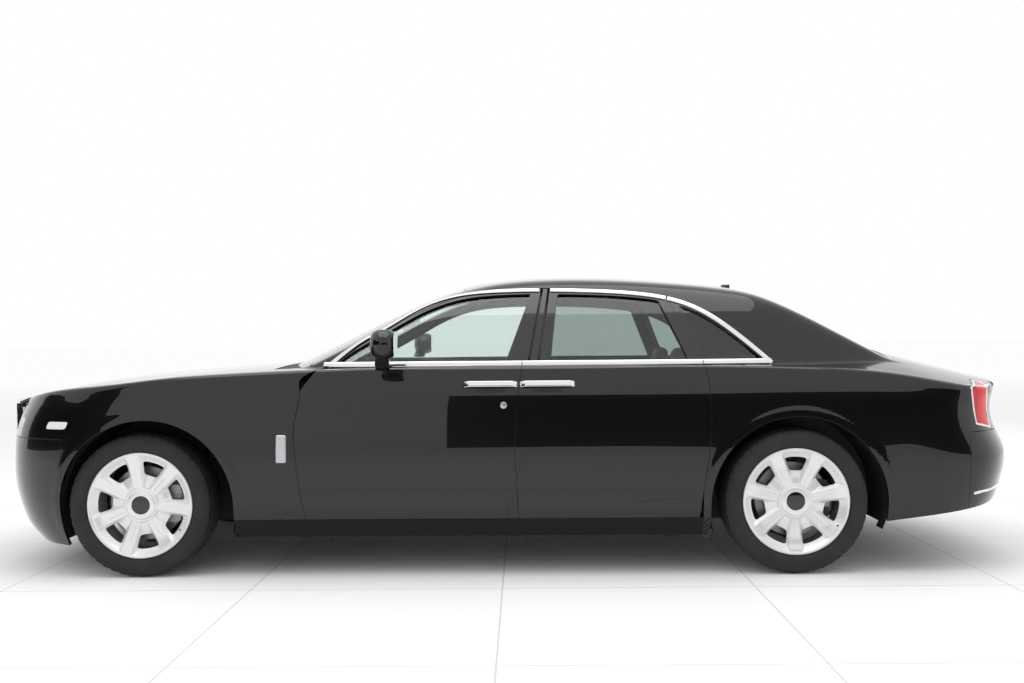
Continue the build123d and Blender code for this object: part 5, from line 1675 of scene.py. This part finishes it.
class SEDAN_OT_cabin(bpy.types.Operator):
    """Fits the seats, dashboard, steering wheel, console and parcel shelf"""
    bl_idname = "sedan.cabin"
    bl_label = "Cabin"

    def execute(self, context):
        hide, dark, wood = look("leather"), look("dash"), look("wood")
        for side, sign in SIDES:
            pads, head = seat_parts(-0.30, sign * 0.40, 0.075)
            seat = put(f"front_seat_{side}_pads", pads, hide, "body",
                       [f"front_seat_{side}"])
            rest = put(f"front_seat_{side}_headrest", head, hide, "body")
            posts = [rod((0.055, sign * 0.40 + s * 0.05, 0.98), (0.075, sign * 0.40 + s * 0.05,
                                                               1.03), 0.006) for s in (-1, 1)]
            base = ball((-0.32, sign * 0.40, 0.33), (0.22, 0.19, 0.075), (6.0, 6.0))
            put(f"front_seat_{side}_base", base, look("plastic"), "body")
            put(f"front_seat_{side}_posts", joined(*posts), look("chrome"), "body")
        left, left_head = seat_parts(0.60, -0.40, 0.045)
        right, right_head = seat_parts(0.60, 0.40, 0.045)
        arm = ball((0.66, 0, 0.56), (0.19, 0.095, 0.075), (5.0, 3.5), 31, 48)
        bench = put("rear_seat_pads", joined(left, right, arm), hide, "body",
                    ["rear_seats"])
        rests = put("rear_seat_headrests", joined(left_head, right_head), hide, "body")
        put("rear_seat_base", ball((0.60, 0, 0.32), (0.26, 0.58, 0.075), (8.0, 6.0)),
            look("plastic"), "body")

        creased(put("dashboard_pad", node_mesh("dashboard"), dark, "body",
                    ["dashboard"]), 40)
        y = np.linspace(-0.70, 0.70, 60)
        slope = unit(np.array([0.03, 0, 0.14]))
        away = unit(np.array([0.14, 0, -0.03]))
        path = np.stack([-0.671 + 0 * y, y, 0.848 + 0 * y], -1)
        put("fascia_veneer", sweep(path, oval(0.075, 0.008, 6.0, 24), np.tile(slope, (60, 1)),
                                   np.tile(away, (60, 1))), wood, "body")
        rings = []
        for y0, radius in ((-0.64, 0.034), (-0.20, 0.034), (0.20, 0.034), (0.64, 0.034),
                           (-0.47, 0.045), (-0.36, 0.045)):
            section = [(radius + 0.005 * math.cos(a), 0.005 * math.sin(a))
                       for a in np.linspace(0, 2 * np.pi, 13)]
            rings.append(facing(away, section, (-0.664, y0, 0.852), 40))
        put("fascia_rings", joined(*rings), look("chrome"), "body")
        hub = np.array([-0.56, -0.40, 0.93])
        tilt = math.radians(24)
        axis = np.array([math.cos(tilt), 0, math.sin(tilt)])
        section = [(0.185 + 0.0145 * math.cos(a), 0.0125 * math.sin(a))
                   for a in np.linspace(0, 2 * np.pi, 25)]
        grip = facing(axis, section, hub, 96)
        boss = ball((0, 0, 0), (0.030, 0.068, 0.055), (2.6, 2.4), 25, 40)
        boss = turned(boss, -24.0, hub - axis * 0.006)
        arms = [boss, rod(hub - axis * 0.09, hub - axis * 0.01, 0.0195, 24)]
        up = np.cross(axis, (0, 1, 0))
        for angle in (0, 180, 270):
            ray = np.array([0, 1.0, 0]) * math.cos(math.radians(angle)) \
                - up * math.sin(math.radians(angle))
            path = np.stack([hub + ray * s - axis * 0.008 for s in (0.045, 0.11, 0.178)])
            across = np.tile(np.cross(axis, ray), (3, 1))
            arms.append(sweep(path, oval(0.030, 0.016, 3.0, 20), across,
                              np.tile(axis, (3, 1))))
        put("steering_grip", joined(grip, *arms), look("wheelrim"), "steering_wheel",
            ["steering_wheel"])
        put("centre_console", ball((-0.28, 0, 0.50), (0.40, 0.105, 0.135), (7.0, 4.0), 31, 72),
            dark, "body")
        put("console_veneer", ball((-0.40, 0, 0.628), (0.22, 0.070, 0.012), (7.0, 3.0), 21, 64),
            wood, "body")
        x = np.linspace(1.08, 1.99, 40)[:, None]
        y = np.linspace(-0.56, 0.56, 40)[None, :]
        shelf = surface(np.stack([x + 0 * y, y + 0 * x, deck(x, y) - 0.045], -1))
        put("parcel_shelf", slab(shelf, 0.012), dark, "body")
        tips = []
        for sign in (-1, 1):
            pipe = [(0.033, -0.14), (0.034, -0.01), (0.032, 0.0), (0.030, -0.002),
                    (0.029, -0.12), (0.001, -0.125)]
            tips.append(facing((1, 0, 0), pipe, (2.52, sign * 0.56, 0.330), 40))
        put("exhaust_tips", joined(*tips), look("chrome"), "body")
        return {"FINISHED"}


# ---- stage --------------------------------------------------------------------------------


def lit(name, place, target, size, power, colour=(1, 1, 1)):
    """A rectangular lamp aimed at a point."""
    data = bpy.data.lights.new(name, "AREA")
    data.shape = "RECTANGLE"
    data.size, data.size_y = size
    data.energy = power
    data.color = colour
    lamp = bpy.data.objects.new(name, data)
    lamp.location = place
    aim = Vector(target) - Vector(place)
    lamp.rotation_mode = "QUATERNION"
    lamp.rotation_quaternion = aim.to_track_quat("-Z", "Y")
    bpy.context.scene.collection.objects.link(lamp)
    return lamp


def stage_sheet(name, corners):
    """A flat sheet of the studio, not part of the car."""
    data = bpy.data.meshes.new(name)
    data.from_pydata(corners, [], [(0, 1, 2, 3)])
    sheet = bpy.data.objects.new(name, data)
    bpy.context.scene.collection.objects.link(sheet)
    return sheet


class SEDAN_OT_studio(bpy.types.Operator):
    """Lays the floor, lights the studio and sets up the camera"""
    bl_idname = "sedan.studio"
    bl_label = "Studio"

    def execute(self, context):
        studio = context.scene.sedan_studio
        world = bpy.data.worlds.new("studio_world")
        context.scene.world = world
        world.use_nodes = True
        tree = world.node_tree
        background = tree.nodes["Background"]
        path = tree.nodes.new("ShaderNodeLightPath")
        shown = path.outputs["Is Camera Ray"]
        for ray in ("Is Glossy Ray", "Is Transmission Ray"):
            joiner = tree.nodes.new("ShaderNodeMath")
            joiner.operation = "MAXIMUM"
            tree.links.new(shown, joiner.inputs[0])
            tree.links.new(path.outputs[ray], joiner.inputs[1])
            shown = joiner.outputs[0]
        background.inputs["Color"].default_value = (1, 1, 1, 1)
        tree.links.new(spread(tree, shown, studio.ambient, 1.0), background.inputs["Strength"])

        floor = stage_sheet("floor", [(-400, -60, 0), (400, -60, 0), (400, 700, 0),
                                      (-400, 700, 0)])
        floor_data = floor.data
        found, tree, shader = finish_nodes("pale_floor", studio.floor_colour, Roughness=0.9)
        shader.inputs["Specular IOR Level"].default_value = 0.0
        where = coordinates(tree)
        tiles = tree.nodes.new("ShaderNodeTexBrick")
        tiles.offset = 0.0
        tiles.inputs["Color1"].default_value = (*studio.floor_colour, 1)
        tiles.inputs["Color2"].default_value = (*studio.floor_colour, 1)
        tiles.inputs["Mortar"].default_value = (*(v * 0.72 for v in studio.floor_colour), 1)
        tiles.inputs["Scale"].default_value = 1.0
        tiles.inputs["Mortar Size"].default_value = 0.004
        for side in ("Brick Width", "Row Height"):
            tiles.inputs[side].default_value = TILE_SIDE
        tree.links.new(where, tiles.inputs["Vector"])
        tree.links.new(tiles.outputs["Color"], shader.inputs["Base Color"])
        # Painted glow: the floor gives off a faint light of its own, rising from nothing 9 m from
        # the middle of the car to 0.12 at 30 m, so that its far reaches fade into the white
        # background.
        reach = tree.nodes.new("ShaderNodeVectorMath")
        reach.operation = "LENGTH"
        tree.links.new(where, reach.inputs[0])
        shader.inputs["Emission Color"].default_value = (1, 1, 1, 1)
        tree.links.new(spread(tree, reach.outputs["Value"], 0.0, 0.12, (9.0, 30.0)),
                       shader.inputs["Emission Strength"])
        floor_data.materials.append(found)
        found, tree, shader = finish_nodes("dark_screen", (0.012, 0.012, 0.014), Roughness=1.0)
        where = coordinates(tree)
        tree.links.new(tinted(tree, noise(tree, where, 0.4), (0.004, 0.004, 0.005),
                              (0.02, 0.02, 0.022)), shader.inputs["Base Color"])
        shader.inputs["Specular IOR Level"].default_value = 0.0
        for name, start, end, height in (
            ("tail_screen", (-1.25, -11), (17.0, -11), studio.screen_top),
            ("nose_screen", (-16.0, -11), (-7.2, -11), 2 * studio.screen_top),
            ("nose_end_screen", (-16.0, 2), (-16.0, -11), 2 * studio.screen_top),
        ):
            screen = stage_sheet(name, [(*start, 0), (*end, 0), (*end, height),
                                        (*start, height)])
            screen.data.materials.append(found)
            screen.visible_camera = False
            screen.visible_diffuse = False
            screen.visible_shadow = False

        lit("overhead", (0, -1.0, 6.5), (0, 0, 0), (7.0, 4.5), studio.key_power)
        nose = lit("nose_side", (-8.0, -4.0, 3.6), (-1.5, 0, 0.7), (3.5, 2.5), studio.fill_power)
        nose.visible_glossy = False
        lit("tail_side", (8.0, 4.5, 4.0), (1.5, 0, 0.7), (3.5, 2.5), studio.fill_power)

        yaw, roll = CAMERA_YAW, CAMERA_ROLL
        ahead = Vector((math.sin(yaw), math.cos(yaw), 0))
        right = Vector((math.cos(yaw), -math.sin(yaw), 0))
        up = Vector((0, 0, 1))
        camera_right = right * math.cos(roll) + up * math.sin(roll)
        camera_up = up * math.cos(roll) - right * math.sin(roll)
        data = bpy.data.cameras.new("camera")
        data.sensor_width, data.lens = 36.0, studio.lens
        camera = bpy.data.objects.new("camera", data)
        turn = Matrix((camera_right, camera_up, -ahead)).transposed().to_4x4()
        camera.matrix_world = Matrix.Translation(CAMERA_PLACE) @ turn
        context.scene.collection.objects.link(camera)
        context.scene.camera = camera
        context.scene.view_settings.view_transform = "Standard"
        return {"FINISHED"}


# ---- settings, panel and running ----------------------------------------------------------


class SedanLooks(bpy.types.PropertyGroup):
    """Colours of the finishes"""
    paint_colour: FloatVectorProperty(
        name="Paint", description="Colour of the bodywork", subtype="COLOR", size=3,
        default=(0.0035, 0.0035, 0.0042), min=0, max=1)
    chrome_colour: FloatVectorProperty(
        name="Chrome", description="Colour of the bright trim", subtype="COLOR", size=3,
        default=(0.80, 0.80, 0.82), min=0, max=1)
    glass_colour: FloatVectorProperty(
        name="Glass", description="Tint of the windows", subtype="COLOR", size=3,
        default=(0.80, 0.88, 0.85), min=0, max=1)
    rear_glass_colour: FloatVectorProperty(
        name="Rear glass", description="Tint of the windows behind the front doors",
        subtype="COLOR", size=3, default=(0.50, 0.57, 0.55), min=0, max=1)
    wheel_colour: FloatVectorProperty(
        name="Wheels", description="Colour of the wheel lacquer", subtype="COLOR", size=3,
        default=(0.78, 0.79, 0.80), min=0, max=1)
    hide_colour: FloatVectorProperty(
        name="Hide", description="Colour of the seats", subtype="COLOR", size=3,
        default=(0.42, 0.36, 0.28), min=0, max=1)


class SedanStudio(bpy.types.PropertyGroup):
    """Light, floor and lens of the studio"""
    ambient: FloatProperty(name="Ambient", description="Strength of the light from all round",
                           default=0.92, min=0, max=3)
    screen_top: FloatProperty(name="Screen height", description="Height of the dark screens "
                              "that the body side mirrors", default=3.7, min=0, max=10)
    key_power: FloatProperty(name="Overhead lamp", description="Power of the lamp above",
                             default=160, min=0, unit="POWER")
    fill_power: FloatProperty(name="Side lamps", description="Power of the two side lamps",
                              default=60, min=0, unit="POWER")
    floor_colour: FloatVectorProperty(
        name="Floor", description="Colour of the floor", subtype="COLOR", size=3,
        default=(0.94, 0.94, 0.945), min=0, max=1)
    lens: FloatProperty(name="Lens", description="Focal length in millimetres on a 36 mm sensor",
                        default=37.13, min=10, max=200)


OPERATORS = (
    SEDAN_OT_studio, SEDAN_OT_panels, SEDAN_OT_caps, SEDAN_OT_glass, SEDAN_OT_brightwork,
    SEDAN_OT_wheels, SEDAN_OT_face, SEDAN_OT_structure, SEDAN_OT_cabin,
)


class SEDAN_PT_sidebar(bpy.types.Panel):
    """Lists the pieces and settings of the sedan"""
    bl_idname = "SEDAN_PT_sidebar"
    bl_label = "Sedan"
    bl_space_type = "VIEW_3D"
    bl_region_type = "UI"
    bl_category = "Sedan"

    def draw(self, context):
        layout = self.layout
        for group in (context.scene.sedan_looks, context.scene.sedan_studio):
            box = layout.box()
            for key in group.__annotations__:
                box.prop(group, key)
        for operator in OPERATORS:
            layout.operator(operator.bl_idname)


CLASSES = (SedanLooks, SedanStudio, *OPERATORS, SEDAN_PT_sidebar)


def register():
    for found in CLASSES:
        bpy.utils.register_class(found)
    bpy.types.Scene.sedan_looks = PointerProperty(type=SedanLooks)
    bpy.types.Scene.sedan_studio = PointerProperty(type=SedanStudio)


def unregister():
    del bpy.types.Scene.sedan_looks
    del bpy.types.Scene.sedan_studio
    for found in reversed(CLASSES):
        bpy.utils.unregister_class(found)


def main():
    register()
    for operator in OPERATORS:
        getattr(bpy.ops.sedan, operator.bl_idname.split(".")[1])()


if __name__ == "__main__":
    main()
